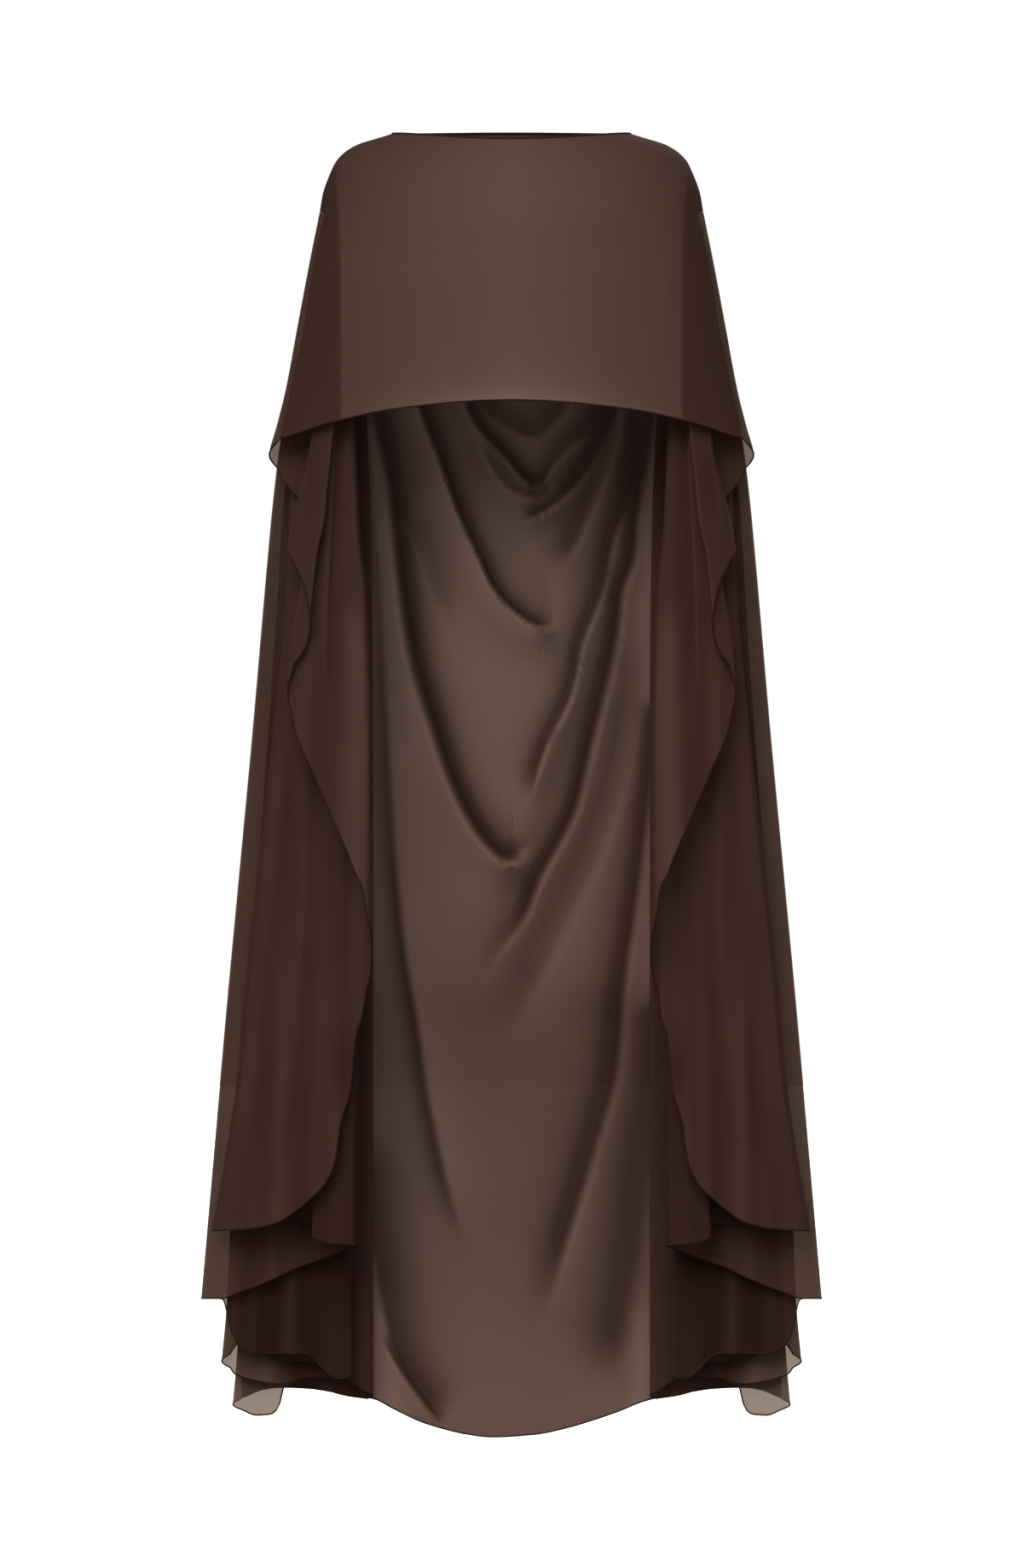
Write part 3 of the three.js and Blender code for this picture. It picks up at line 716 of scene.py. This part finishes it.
def tube(name: str, path: np.ndarray, radius: float, sides: int = 8) -> bpy.types.Object:
    """Closed round roll along a path: a circle carried along it, drawn in at both ends.

    Args:
        name: Name of the new piece.
        path: Points of the path in millimetres.
        radius: Radius of the roll in millimetres.
        sides: Sides of its section.

    Returns:
        The piece.
    """
    step = np.linalg.norm(np.diff(path, axis=0), axis=1)
    path = path[np.concatenate([[True], step > MIN_STEP])]
    along = np.gradient(path, axis=0)
    along /= np.linalg.norm(along, axis=1, keepdims=True)
    up = np.where(np.abs(along[:, 2:]) > STEEP, [[0, 1, 0]], [[0, 0, 1]])
    first = np.cross(along, up)
    first /= np.linalg.norm(first, axis=1, keepdims=True)
    flip = np.cumprod(np.concatenate([[1], np.where((first[1:] * first[:-1]).sum(1) < 0, -1, 1)]))
    first *= flip[:, None]
    second = np.cross(along, first)
    turn = np.linspace(0, 2 * np.pi, sides, endpoint=False)
    ring = np.cos(turn)[None, :, None] * first[:, None] + np.sin(turn)[None, :, None] * second[:, None]
    size = np.full(len(path), radius)
    size[[0, -1]] = radius * ROLL_END
    points = (path[:, None] + ring * size[:, None, None]).reshape(-1, 3)
    index = np.arange(len(path) * sides).reshape(-1, sides)
    after = np.roll(index, -1, axis=1)
    body = np.stack([index[:-1], after[:-1], after[1:], index[1:]], axis=-1).reshape(-1, 4)
    k = np.arange(sides // 2 - 1)
    cap = np.stack([k, k + 1, sides - 2 - k, sides - 1 - k], axis=1)
    faces = np.concatenate([body, index[0][cap[:, ::-1]], index[-1][cap]])
    return make_mesh(name, points * MM, faces)


@dataclass
class Piece:
    """A built piece with what the frame needs to know of it.

    Attributes:
        obj: The piece's mesh object.
        slot: Material slot of the record. Not used.
        replaces: Nodes that it stands for.
    """

    obj: bpy.types.Object
    slot: Slot
    replaces: tuple[str, ...] = ()

    def fit(self, material: bpy.types.Material) -> None:
        """Dresses the piece in a material, ties it to the body and hides the nodes it stands for.

        Args:
            material: Material of the piece.
        """
        self.obj.data.materials.append(material)
        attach(self.obj, BODY)
        if self.replaces:
            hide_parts(*self.replaces)
        LOG.info("%s: %d faces", self.obj.name, len(self.obj.data.polygons))


@dataclass
class Cascade:
    """The folds that hang at one side of the cape.

    Attributes:
        side: Side of the cape.
        column_step: Distance between columns across a ply, in millimetres.
        fold_columns: Columns over a fold.
        rows: Rows from the gather to the hem.
        thickness: Thickness of the cloth.
        ripple: Height of the soft ripples at the hem.
        ripple_seed: Shift of the ripples from one layer to the next.
        ripple_widths: Widths of a ply between which its ripples grow to their full height.
        ripple_drops: Distances below the neck between which they do.
        ripple_shade: Painted shade in a ripple's trough.
        fold_light: Painted highlight over a fold's crest.
        crest_light: Painted highlight on the crest of a crease.
        stretches: Nodes of the CAD model that the cloth stands for, without their side.
    """

    side: Side
    column_step: float = 4.2
    fold_columns: int = 9
    rows: int = 84
    thickness: float = 0.6
    ripple: float = 5.0
    ripple_seed: float = 1.7
    ripple_widths: tuple[float, float] = (15, 90)
    ripple_drops: tuple[float, float] = (150, 900)
    ripple_shade: float = 0.07
    fold_light: float = 0.22
    crest_light: float = 0.05
    stretches: tuple[str, ...] = (
        "wing_turnback", "upper_fall", "middle_fall", "first_fall", "second_fall", "third_fall",
        "back_side",
    )

    def heights(self, top: np.ndarray, hem: np.ndarray) -> np.ndarray:
        """Heights [column, row] from each column's top to its hem."""
        return top[:, None] + (hem - top)[:, None] * np.linspace(0, 1, self.rows)[None, :]

    def ply_columns(self, ply: Ply) -> tuple[np.ndarray, ...]:
        """Columns across a ply, between the feet of its two folds.

        Args:
            ply: The ply.

        Returns:
            Half width, layer, height, forward move and painted shade at [column, row].
        """
        width, hem_z = np.array(ply.hem, dtype=float).T
        start, end = fold_foot(ply.start, hem_z), fold_foot(ply.end, hem_z)
        share = (width - start) / (end - start)
        hem = Curve(((0.0, ply.ends[0]), *zip(share, hem_z), (1.0, ply.ends[1])))
        hem_length = np.hypot(np.diff(width), np.diff(hem_z)).sum()
        length = max(np.abs(end - start).max(), hem_length)
        count = max(int(length / self.column_step), 4)
        at = (np.arange(count) + 1) / (count + 1)
        top = min(FOLDS[ply.start].top, FOLDS[ply.end].top)
        z = self.heights(np.full(count, top), hem(at))
        left, right = fold_foot(ply.start, z), fold_foot(ply.end, z)
        half_width = left + (right - left) * at[:, None]
        wave = ripples(half_width, z, self.ripple_seed * ply.layer) * np.sqrt(np.sin(np.pi * at))[:, None]
        room = smooth_step(np.abs(right - left), *self.ripple_widths) * smooth_step(-z, *self.ripple_drops)
        forward = -self.ripple * wave * room * plan_share(half_width, z)
        # Painted shade by layer and in the ripples' troughs and the creases, and a painted highlight on
        # the creases' crests
        clear = 1 - layer_shade(ply.layer, half_width) - self.ripple_shade * wave * room
        for fold in CREASES.get(ply.layer, ()):
            trough, crest, crease = fold.profile(half_width, z)
            forward += fold.crest * crest - fold.trough * trough
            clear = clear * (1 - fold.shade * crease) + self.crest_light * crest * (fold.crest > 0)
        return half_width, ply.layer + 0 * z, z, forward, 1 - clear

    def fold_columns_of(
        self, name: str, before: float, after: float, hems: tuple[float, float]
    ) -> tuple[np.ndarray, ...]:
        """Columns over a fold: half an ellipse from the layer before it to the layer after it.

        A painted highlight lightens the cloth over the fold's crest, where it catches the light.

        Args:
            name: Name of the fold.
            before: Layer before it.
            after: Layer after it.
            hems: Height of the hem before and after it.

        Returns:
            Half width, layer, height, forward move and painted shade at [column, row].
        """
        fold = FOLDS[name]
        angle = np.linspace(-np.pi / 2, np.pi / 2, self.fold_columns)
        share = (1 + np.sin(angle)) / 2
        hem = np.linspace(hems[0], hems[1], self.fold_columns)
        z = self.heights(np.full(self.fold_columns, fold.top), hem)
        half_width = fold.path(z) + fold.side * rounding(name, z) * (np.cos(angle)[:, None] - 1)
        layer = before + (after - before) * share[:, None] + 0 * z
        # Painted shade by layer, less a painted highlight over the fold's crest
        density = layer_shade(layer, half_width) - self.fold_light * np.cos(angle)[:, None] ** 2
        return half_width, layer, z, 0 * z, density

    def cloth(self) -> Cloth:
        """The whole cascade as one cloth, from the wing's turn-back to the back panel's side.

        Returns:
            The cloth, with a fold's columns between those of every two plies.
        """
        runs = [self.fold_columns_of("wing", 1, PLIES[0].layer, (WING_HEM_Z, PLIES[0].ends[0]))]
        for i, ply in enumerate(PLIES):
            after = PLIES[i + 1] if i + 1 < len(PLIES) else None
            runs.append(self.ply_columns(ply))
            runs.append(self.fold_columns_of(
                ply.end, ply.layer, after.layer if after else LAYERS,
                (ply.ends[1], after.ends[0] if after else BACK_SIDE_HEM_Z),
            ))
        half_width, layer, z, forward, density = (np.concatenate(part) for part in zip(*runs))
        y = layer_depth(layer, half_width, z) - forward
        return Cloth(np.stack([self.side.value * half_width, y, z], axis=2), np.clip(density, 0, 1))

    def build(self) -> list[Piece]:
        """Builds the cascade's cloth and its rolled hem.

        Returns:
            The cloth and the hem.
        """
        name = self.side.name.lower()
        cloth = self.cloth()
        shell = cloth.shell(f"cascade_cloth_{name}", self.thickness)
        hem = tube(f"cascade_hem_{name}", cloth.points[:, -1], HEM_RADIUS)
        nodes = tuple(f"{stretch}_{name}" for stretch in self.stretches)
        return [Piece(shell, Slot.CHIFFON, nodes), Piece(hem, Slot.ROLLED_HEM)]


@dataclass
class Panel:
    """A panel that hangs from the neck and both shoulders.

    Attributes:
        layer: 1 for the front panel, LAYERS for the back.
        side_fold: Fold at the panel's sides, below the shoulder seam.
        levels: Heights of the panel's first and last row at its side.
        neck_dip: How far the neck edge dips in the middle.
        hem: Hem as (x, z) points.
        columns: Number of columns.
        rows: Number of rows.
        row_growth: Power by which the rows lie closer together near the neck.
        side_share: How much closer together the columns lie towards the sides, from 0 to 1.
        thickness: Thickness of the cloth.
        neck_side_z: Height of the neck edge's two ends.
    """

    layer: int
    side_fold: str
    levels: tuple[float, float]
    neck_dip: float
    hem: tuple[tuple[float, float], ...]
    columns: int
    rows: int
    row_growth: float = 1.35
    side_share: float = 0.55
    thickness: float = 0.6
    neck_side_z: float = -2.0

    def edge(self, z: np.ndarray) -> np.ndarray:
        """Half width of the panel at each height: the shoulder seam, then the foot of its side fold."""
        return np.where(z > SEAM_END_Z, SILHOUETTE(z), fold_foot(self.side_fold, z))

    def shares(self) -> np.ndarray:
        """Columns as shares of the half width, closer together towards the rounded sides."""
        even = np.linspace(-1, 1, self.columns)
        return (1 - self.side_share) * even + self.side_share * np.sin(even * np.pi / 2)

    def points(self) -> np.ndarray:
        """Points of the panel: each column falls from the neck to the hem as the side's rows do.

        Returns:
            The points [column, row, xyz] in millimetres.
        """
        share = self.shares()[:, None]
        down = np.linspace(0, 1, self.rows) ** self.row_growth
        level = (self.levels[0] + (self.levels[1] - self.levels[0]) * down)[None, :]
        width = float(self.edge(np.array(self.levels[1])))
        hem = Curve(tuple((x / width, z) for x, z in self.hem))(share)
        neck = self.neck_side_z * share**2 - self.neck_dip * (1 - share**2)
        z = neck + (hem - neck) * down[None, :]
        half_width = np.abs(share) * self.edge(level)
        height = level + (z - level) * plan_share(half_width, level)
        y = layer_depth(self.layer, half_width, level + 0 * z)
        return np.stack([np.sign(share) * half_width, y, height], axis=2)


# Hems of the front panel's right half and of the whole back panel, as (x, z)
FRONT_HEM = ((0, -316), (140, -324), (198, -333), (221, -338), (252, -350), (264, -355.5), (274, -360.5))
BACK_HEM = (
    (-318, -1487), (-296, -1474), (-280, -1471), (-240, -1474), (-200, -1482), (-162, -1489),
    (-139, -1501), (-102, -1518), (-51, -1531), (-24, -1534), (27, -1531), (63, -1524), (91, -1516),
    (121, -1506), (162, -1490), (200, -1482), (240, -1474), (280, -1471), (296, -1474), (318, -1487),
)


def mirrored(rows: tuple[tuple[float, float], ...]) -> tuple[tuple[float, float], ...]:
    """Rows of (x, value) with their mirror images at negative x."""
    return tuple((-x, value) for x, value in reversed(rows) if x > 0) + tuple(rows)


@dataclass
class FrontPanel(Panel):
    """The short front panel with its wings over both arms.

    Attributes:
        wing_edge: Half width from which the wing's cloth lies doubled, by height.
        wing_blend: How far that change runs to both sides.
        middle_shade: Painted shade in the panel's middle.
        side_shade: How much the painted shade grows towards the wings, where the panel rounds away from
            the light.
        side_reach: Half width at which that growth ends.
        neck_shade: How much the painted shade grows at the neck.
        neck_fade: Length over which that dies away.
        glow_height: Height over which the painted light from below the hem dies away.
        glow_width: Half width of that painted light.
    """

    layer: int = 1
    side_fold: str = "wing"
    levels: tuple[float, float] = (-2, WING_HEM_Z)
    neck_dip: float = 9
    hem: tuple[tuple[float, float], ...] = mirrored(FRONT_HEM)
    columns: int = 181
    rows: int = 72
    wing_edge: Curve = Curve(((-42, 207), (-78, 203), (-155, 200), (-329, 199)))
    wing_blend: float = 2.0
    middle_shade: float = 0.47
    side_shade: float = 0.25
    side_reach: float = 190.0
    neck_shade: float = 0.2
    neck_fade: float = 110.0
    glow_height: float = 18.0
    glow_width: float = 110.0

    def density(self, x: np.ndarray, z: np.ndarray) -> np.ndarray:
        """Painted shade of the panel: the stacked shade in the wings, darker towards the sides and the
        neck.

        A painted light comes up under the middle of the hem, and dies away a hand's breadth above it.

        Args:
            x: Points' x.
            z: Points' z.

        Returns:
            The painted shade at each point, from 0 to 1.
        """
        wing = smooth_step(np.abs(x) - self.wing_edge(z), -self.wing_blend, self.wing_blend)
        side = self.side_shade * np.minimum(np.abs(x) / self.side_reach, 1)
        neck = self.neck_shade * np.exp(z / self.neck_fade)
        above_hem = z - Curve(self.hem)(x)
        glow = self.middle_shade * np.exp(-above_hem / self.glow_height - (x / self.glow_width) ** 2)
        return STACKED_SHADE * (np.clip(self.middle_shade + side + neck - glow, 0, 1) * (1 - wing) + wing)

    def build(self) -> list[Piece]:
        """Builds the cloth, its rolled hem and the roll along the neck.

        Returns:
            The three pieces, in that order.
        """
        points = self.points()
        cloth = Cloth(points, self.density(points[..., 0], points[..., 2]))
        return [
            Piece(cloth.shell("front_panel_cloth", self.thickness), Slot.CHIFFON, ("front_panel",)),
            Piece(tube("front_hem", points[:, -1], HEM_RADIUS), Slot.ROLLED_HEM),
            Piece(tube("neck_roll_front_cloth", points[:, 0], ROLL_RADIUS), Slot.ROLLED_HEM,
                  ("neck_roll_front",)),
        ]


@dataclass
class BackPanel(Panel):
    """The floor-length back panel, whose middle hangs in swags.

    Attributes:
        centre_columns: How even the columns are, from 0 to 1. The rest lie closer in the middle.
        swag_edge: Half widths between which the swags' forward crests die away.
        plain_shade: Painted shade of the cloth between the swags, by height, darkest in a broad band low
            down.
        full_crest: Height of a crest that gets the full painted highlight, as light as cloth that hangs
            free.
    """

    layer: int = LAYERS
    side_fold: str = "back_outer"
    levels: tuple[float, float] = (-2, BACK_SIDE_HEM_Z)
    neck_dip: float = 0
    hem: tuple[tuple[float, float], ...] = BACK_HEM
    columns: int = 151
    rows: int = 318
    centre_columns: float = 0.62
    row_growth: float = 1.05
    swag_edge: tuple[float, float] = (120, 168)
    plain_shade: Curve = Curve((
        (-300, 0.3), (-605, 0.12), (-850, 0.2), (-940, 0.26), (-1045, 0.48), (-1245, 0.44),
        (-1500, 0.3),
    ))
    full_crest: float = 17.0

    def shares(self) -> np.ndarray:
        """Columns as shares of the half width: close together in the middle, where the swags are."""
        even = np.linspace(-1, 1, self.columns)
        return self.centre_columns * even + (1 - self.centre_columns) * even**3

    def build(self) -> list[Piece]:
        """Builds the cloth, its rolled hem and the roll along the neck.

        Every swag moves the cloth by its trough and crest, paints shade in its crease and paints a
        highlight on its crest.

        Returns:
            The three pieces, in that order.
        """
        points = self.points()
        x, z = points[..., 0], points[..., 2]
        forward, crests, clear = np.zeros_like(x), np.zeros_like(x), np.ones_like(x)
        for swag in SWAGS:
            trough, crest, crease = swag.profile(x, z)
            forward += swag.crest * crest - swag.trough * trough
            crests = np.maximum(crests, crest * swag.crest / self.full_crest)
            clear *= 1 - swag.shade * crease
        aside = smooth_step(np.abs(x), *self.swag_edge)
        points[..., 1] -= np.where(forward > 0, forward * (1 - aside), forward)
        # Painted shade between the swags, lightened by a painted highlight on their crests and darkened in
        # their creases
        density = self.plain_shade(z) * (1 - crests)
        cloth = Cloth(points, np.clip(1 - clear * (1 - density), 0, 1))
        return [
            Piece(cloth.shell("back_panel_cloth", self.thickness), Slot.CHIFFON, ("back_panel",)),
            Piece(tube("back_hem", points[:, -1], HEM_RADIUS), Slot.ROLLED_HEM),
            Piece(tube("neck_roll_back_cloth", points[:, 0], ROLL_RADIUS), Slot.ROLLED_HEM,
                  ("neck_roll_back",)),
        ]


def linear(colour: str) -> tuple[float, float, float, float]:
    """Linear colour of an sRGB hex value.

    Args:
        colour: Colour as #rrggbb.

    Returns:
        Its linear red, green and blue, and an alpha of 1.
    """
    parts = np.array([int(colour[i : i + 2], 16) for i in (1, 3, 5)]) / 255
    value = np.where(parts <= 0.04045, parts / 12.92, ((parts + 0.055) / 1.055) ** 2.4)
    return (*(float(v) for v in value), 1.0)


def add_node(
    tree: bpy.types.NodeTree,
    kind: str,
    settings: dict[str, object] | None = None,
    inputs: dict[str, object] | None = None,
) -> bpy.types.Node:
    """Adds a node, sets it up, and links or fills its inputs.

    Args:
        tree: Tree to add to.
        kind: Blender's name of the node's type.
        settings: Properties of the node.
        inputs: Input values, or sockets to link from.

    Returns:
        The node.
    """
    node = tree.nodes.new(kind)
    for key, value in (settings or {}).items():
        setattr(node, key, value)
    for key, value in (inputs or {}).items():
        if isinstance(value, bpy.types.NodeSocket):
            tree.links.new(value, node.inputs[key])
        else:
            node.inputs[key].default_value = value
    return node


@dataclass(frozen=True)
class ChiffonFinish:
    """Polyester chiffon: a sheer plain weave of twisted threads, matt with a faint soft sheen.

    Attributes:
        name: Name of the material.
        free: Painted light: colour where the cloth hangs free and light comes through it.
        close: Painted shade: colour where other cloth lies close behind, which holds the light back.
        crease_shade: Painted shade: colour in a gathered crease.
        cover: How much of what is behind one side of the cloth it hides.
        tint: Colour that light takes on as it passes one side of the cloth.
        crepe_mm: Spacing of the crepe grain. The real threads lie 0.3 mm apart, too fine to show, so
            it is drawn about as wide as a render's pixel.
        crepe_height_mm: Height of the crepe grain.
        roughness: Roughness of the matt twisted threads.
        sheen: Colour of the faint sheen.
        clouds: Number of soft changes of tone in a metre.
        cloud_tone: Darkest and lightest tone of those.
        drifts: Number of soft changes of hue in a metre.
        rosy: What the warmer stretches multiply the colour by.
        olive: What the greener stretches multiply it by.
    """

    name: str
    free: str
    close: str
    crease_shade: str
    cover: float
    tint: str = "#fbf2e8"
    crepe_mm: float = 1.6
    crepe_height_mm: float = 0.1
    roughness: float = 0.72
    sheen: str = "#8a6f63"
    clouds: float = 7.0
    cloud_tone: tuple[float, float] = (0.93, 1.07)
    drifts: float = 3.2
    rosy: tuple[float, float, float] = (1.03, 0.985, 0.98)
    olive: tuple[float, float, float] = (0.97, 1.01, 1.01)

    def material(self) -> bpy.types.Material:
        """Builds the material: tinted threads whose colour paints light and shade from the cloth's
        attribute, crepe grain in the bump, and an even sheerness.

        Returns:
            The material.
        """
        material = bpy.data.materials.new(self.name)
        material.use_nodes = True
        tree = material.node_tree
        tree.nodes.clear()
        place = add_node(tree, "ShaderNodeTexCoord")
        # Painted light and shade: the attribute picks the lit colour, the shaded backed colour or the
        # darkest crease colour
        density = add_node(tree, "ShaderNodeAttribute", {"attribute_name": SHADE_ATTRIBUTE})
        base_colour = add_node(tree, "ShaderNodeValToRGB", inputs={"Fac": density.outputs["Fac"]})
        stops = base_colour.color_ramp.elements
        stops[0].color = linear(self.free)
        stops[1].color = linear(self.crease_shade)
        stops.new(STACKED_SHADE).color = linear(self.close)
        cloud = add_node(tree, "ShaderNodeTexNoise", inputs={
            "Vector": place.outputs["Object"], "Scale": self.clouds, "Detail": 2.0, "Roughness": 0.5,
        })
        tone = add_node(tree, "ShaderNodeMapRange", inputs={
            "Value": cloud.outputs["Fac"], "To Min": self.cloud_tone[0], "To Max": self.cloud_tone[1],
        })
        drift = add_node(tree, "ShaderNodeTexNoise", inputs={
            "Vector": place.outputs["Object"], "Scale": self.drifts, "Detail": 1.0,
        })
        hue = add_node(tree, "ShaderNodeValToRGB", inputs={"Fac": drift.outputs["Fac"]})
        rosy, olive = hue.color_ramp.elements
        rosy.position, olive.position = 0.35, 0.65
        rosy.color = (*self.rosy, 1)
        olive.color = (*self.olive, 1)
        hued_colour = add_node(tree, "ShaderNodeMix", {"data_type": "RGBA", "blend_type": "MULTIPLY"}, {
            "Factor": 1.0, "A": base_colour.outputs["Color"], "B": hue.outputs["Color"],
        })
        shade = add_node(tree, "ShaderNodeVectorMath", {"operation": "SCALE"}, {
            "Vector": hued_colour.outputs["Result"], "Scale": tone.outputs["Result"],
        })
        grain = add_node(tree, "ShaderNodeTexNoise", inputs={
            "Vector": place.outputs["UV"], "Scale": 1 / (self.crepe_mm * MM), "Detail": 3.0,
        })
        bump = add_node(tree, "ShaderNodeBump", inputs={
            "Strength": 0.25, "Distance": self.crepe_height_mm * MM, "Height": grain.outputs["Fac"],
        })
        shader = add_node(tree, "ShaderNodeBsdfPrincipled", inputs={
            "Base Color": shade.outputs["Vector"], "Normal": bump.outputs["Normal"],
            "Roughness": self.roughness, "IOR": 1.45, "Specular IOR Level": 0.06,
            "Sheen Weight": 0.02, "Sheen Roughness": 0.5, "Sheen Tint": linear(self.sheen),
        })
        gaps = add_node(tree, "ShaderNodeBsdfTransparent", inputs={"Color": linear(self.tint)})
        weave = add_node(tree, "ShaderNodeMixShader", inputs={"Fac": self.cover})
        tree.links.new(gaps.outputs["BSDF"], weave.inputs[1])
        tree.links.new(shader.outputs["BSDF"], weave.inputs[2])
        add_node(tree, "ShaderNodeOutputMaterial", inputs={"Surface": weave.outputs["Shader"]})
        return material


@dataclass(frozen=True)
class HemFinish:
    """Narrow rolled hem of the same chiffon: several turns thick, so dark and nearly solid.

    Attributes:
        name: Name of the material.
        colour: Colour between the threads.
        thread: Colour of the threads.
        grains: Number of grains of the thread in a metre, about as fine as a stitch.
        grain_height_mm: Height of the thread's grain.
    """

    name: str = "rolled chiffon hem"
    colour: str = "#22140f"
    thread: str = "#2f1d18"
    grains: float = 900.0
    grain_height_mm: float = 0.15

    def material(self) -> bpy.types.Material:
        """Builds the material: a dark matt roll with a fine thread grain along it.

        Returns:
            The material.
        """
        material = bpy.data.materials.new(self.name)
        material.use_nodes = True
        tree = material.node_tree
        tree.nodes.clear()
        place = add_node(tree, "ShaderNodeTexCoord")
        grain = add_node(tree, "ShaderNodeTexNoise", inputs={
            "Vector": place.outputs["Object"], "Scale": self.grains, "Detail": 2.0,
        })
        base_colour = add_node(tree, "ShaderNodeMix", {"data_type": "RGBA"}, {
            "Factor": grain.outputs["Fac"], "A": linear(self.colour), "B": linear(self.thread),
        })
        bump = add_node(tree, "ShaderNodeBump", inputs={
            "Strength": 0.3, "Distance": self.grain_height_mm * MM, "Height": grain.outputs["Fac"],
        })
        shader = add_node(tree, "ShaderNodeBsdfPrincipled", inputs={
            "Base Color": base_colour.outputs["Result"], "Normal": bump.outputs["Normal"],
            "Roughness": 0.7, "Specular IOR Level": 0.06,
        })
        add_node(tree, "ShaderNodeOutputMaterial", inputs={"Surface": shader.outputs["BSDF"]})
        return material


@dataclass(frozen=True)
class Sun:
    """Far soft light, named for its job.

    Attributes:
        name: Its job.
        strength: Strength in watts a square metre.
        spread_degrees: Its width as the cape sees it.
        stands: Direction from the origin in which it stands.
    """

    name: str
    strength: float
    spread_degrees: float
    stands: tuple[float, float, float]


@dataclass
class Studio:
    """Plain white studio with soft light and the camera that sees the cape as in the photograph.

    Attributes:
        distance: Distance of the camera in metres, far because the photograph shows no perspective.
        view_height: Height of the picture at the cape, in metres.
        sensor_mm: Height of the camera's sensor.
        clip_end: Distance in metres up to which the camera sees.
        middle_z: Height of the picture's middle, in metres.
        floor_z: Height of the floor, in metres.
        floor_half: Half the floor's width, in metres.
        paper: Colour of the floor.
        ambient: Strength of the light from all round.
        backdrop: Strength of the white that the camera sees.
        suns: The lights.
    """

    distance: float = 24.0
    view_height: float = 1.839
    sensor_mm: float = 36.0
    clip_end: float = 200.0
    middle_z: float = -0.7645
    floor_z: float = -1.56
    floor_half: float = 30.0
    paper: str = "#e6e6e6"
    ambient: float = 0.28
    backdrop: float = 1.05
    suns: tuple[Sun, ...] = (
        Sun("key", 2.75, 40, (-0.30, -1.0, 0.80)),
        Sun("fill", 0.75, 70, (0.35, -1.0, 0.05)),
        Sun("rear", 0.9, 30, (0.5, 1.0, 0.7)),
    )

    def camera(self) -> None:
        """Camera straight in front at half the cape's height, with a long lens."""
        data = bpy.data.cameras.new("camera")
        data.sensor_fit = "VERTICAL"
        data.sensor_height = self.sensor_mm
        data.lens = self.sensor_mm * self.distance / self.view_height
        data.clip_end = self.clip_end
        camera = bpy.data.objects.new("camera", data)
        camera.location = (0, -self.distance, self.middle_z)
        camera.rotation_euler = (math.pi / 2, 0, 0)
        bpy.context.scene.collection.objects.link(camera)
        bpy.context.scene.camera = camera

    def floor(self) -> None:
        """White paper floor just under the longest hem, lit evenly so that it melts into the white."""
        half = self.floor_half
        points = np.array([
            (-half, -half, self.floor_z), (half, -half, self.floor_z),
            (half, half, self.floor_z), (-half, half, self.floor_z),
        ])
        floor = make_mesh("floor", points, np.array([[0, 1, 2, 3]]))
        material = bpy.data.materials.new("white paper")
        material.use_nodes = True
        shader = material.node_tree.nodes["Principled BSDF"]
        shader.inputs["Base Color"].default_value = linear(self.paper)
        shader.inputs["Roughness"].default_value = 0.9
        shader.inputs["Specular IOR Level"].default_value = 0.0
        shader.inputs["Emission Color"].default_value = (1, 1, 1, 1)
        shader.inputs["Emission Strength"].default_value = 1.0
        floor.data.materials.append(material)
        floor.visible_diffuse = False
        floor.visible_glossy = False

    def sun(self, sun: Sun) -> None:
        """Adds a far soft light that shines from where it stands to the origin.

        Args:
            sun: The light.
        """
        data = bpy.data.lights.new(sun.name, "SUN")
        data.energy = sun.strength
        data.angle = math.radians(sun.spread_degrees)
        lamp = bpy.data.objects.new(sun.name, data)
        lamp.rotation_euler = (-Vector(sun.stands)).to_track_quat("-Z", "Y").to_euler()
        bpy.context.scene.collection.objects.link(lamp)

    def surroundings(self) -> None:
        """World that the camera sees as white, and that lights the cape much less than that."""
        world = bpy.data.worlds.new("studio")
        world.use_nodes = True
        tree = world.node_tree
        path = add_node(tree, "ShaderNodeLightPath")
        strength = add_node(tree, "ShaderNodeMapRange", inputs={
            "Value": path.outputs["Is Camera Ray"], "To Min": self.ambient, "To Max": self.backdrop,
        })
        background = tree.nodes["Background"]
        background.inputs["Color"].default_value = (1, 1, 1, 1)
        tree.links.new(strength.outputs["Result"], background.inputs["Strength"])
        bpy.context.scene.world = world

    def build(self) -> None:
        """Sets up camera, floor and light."""
        bpy.context.scene.view_settings.view_transform = "Standard"
        self.camera()
        self.floor()
        self.surroundings()
        for sun in self.suns:
            self.sun(sun)


# Each finish's three colours paint light and shade on one chiffon: lit through where it hangs free, shaded
# where cloth backs it, darkest in a crease
# The front and the cascades are a single layer, so what is behind them shows through
SHEER = ChiffonFinish("sheer polyester chiffon", "#79645a", "#452e28", "#2c1913", 0.62)
# The back hides nearly all that is behind it, as this chiffon does when it is doubled
DOUBLED = ChiffonFinish("doubled polyester chiffon", "#6b544b", "#38231d", "#25130e", 0.93)


@dataclass
class Cape:
    """The whole cape.

    Attributes:
        front: The front panel.
        back: The back panel.
        cascades: The folds at both sides.
    """

    front: FrontPanel = field(default_factory=FrontPanel)
    back: BackPanel = field(default_factory=BackPanel)
    cascades: tuple[Cascade, ...] = field(
        default_factory=lambda: (Cascade(Side.LEFT), Cascade(Side.RIGHT))
    )

    def build(self) -> None:
        sheer, doubled, hem = SHEER.material(), DOUBLED.material(), HemFinish().material()
        front, front_hem, front_roll = self.front.build()
        back, back_hem, back_roll = self.back.build()
        sides = [cascade.build() for cascade in self.cascades]
        front.fit(sheer)
        back.fit(doubled)
        for piece in (front_hem, front_roll, back_hem, back_roll):
            piece.fit(hem)
        for cloth, roll in sides:
            cloth.fit(sheer)
            roll.fit(hem)


def main() -> None:
    """Builds the studio and the cape, and reports each piece."""
    logging.basicConfig(level=logging.INFO, format="%(name)s: %(message)s")
    Studio().build()
    Cape().build()


if __name__ == "__main__":
    main()
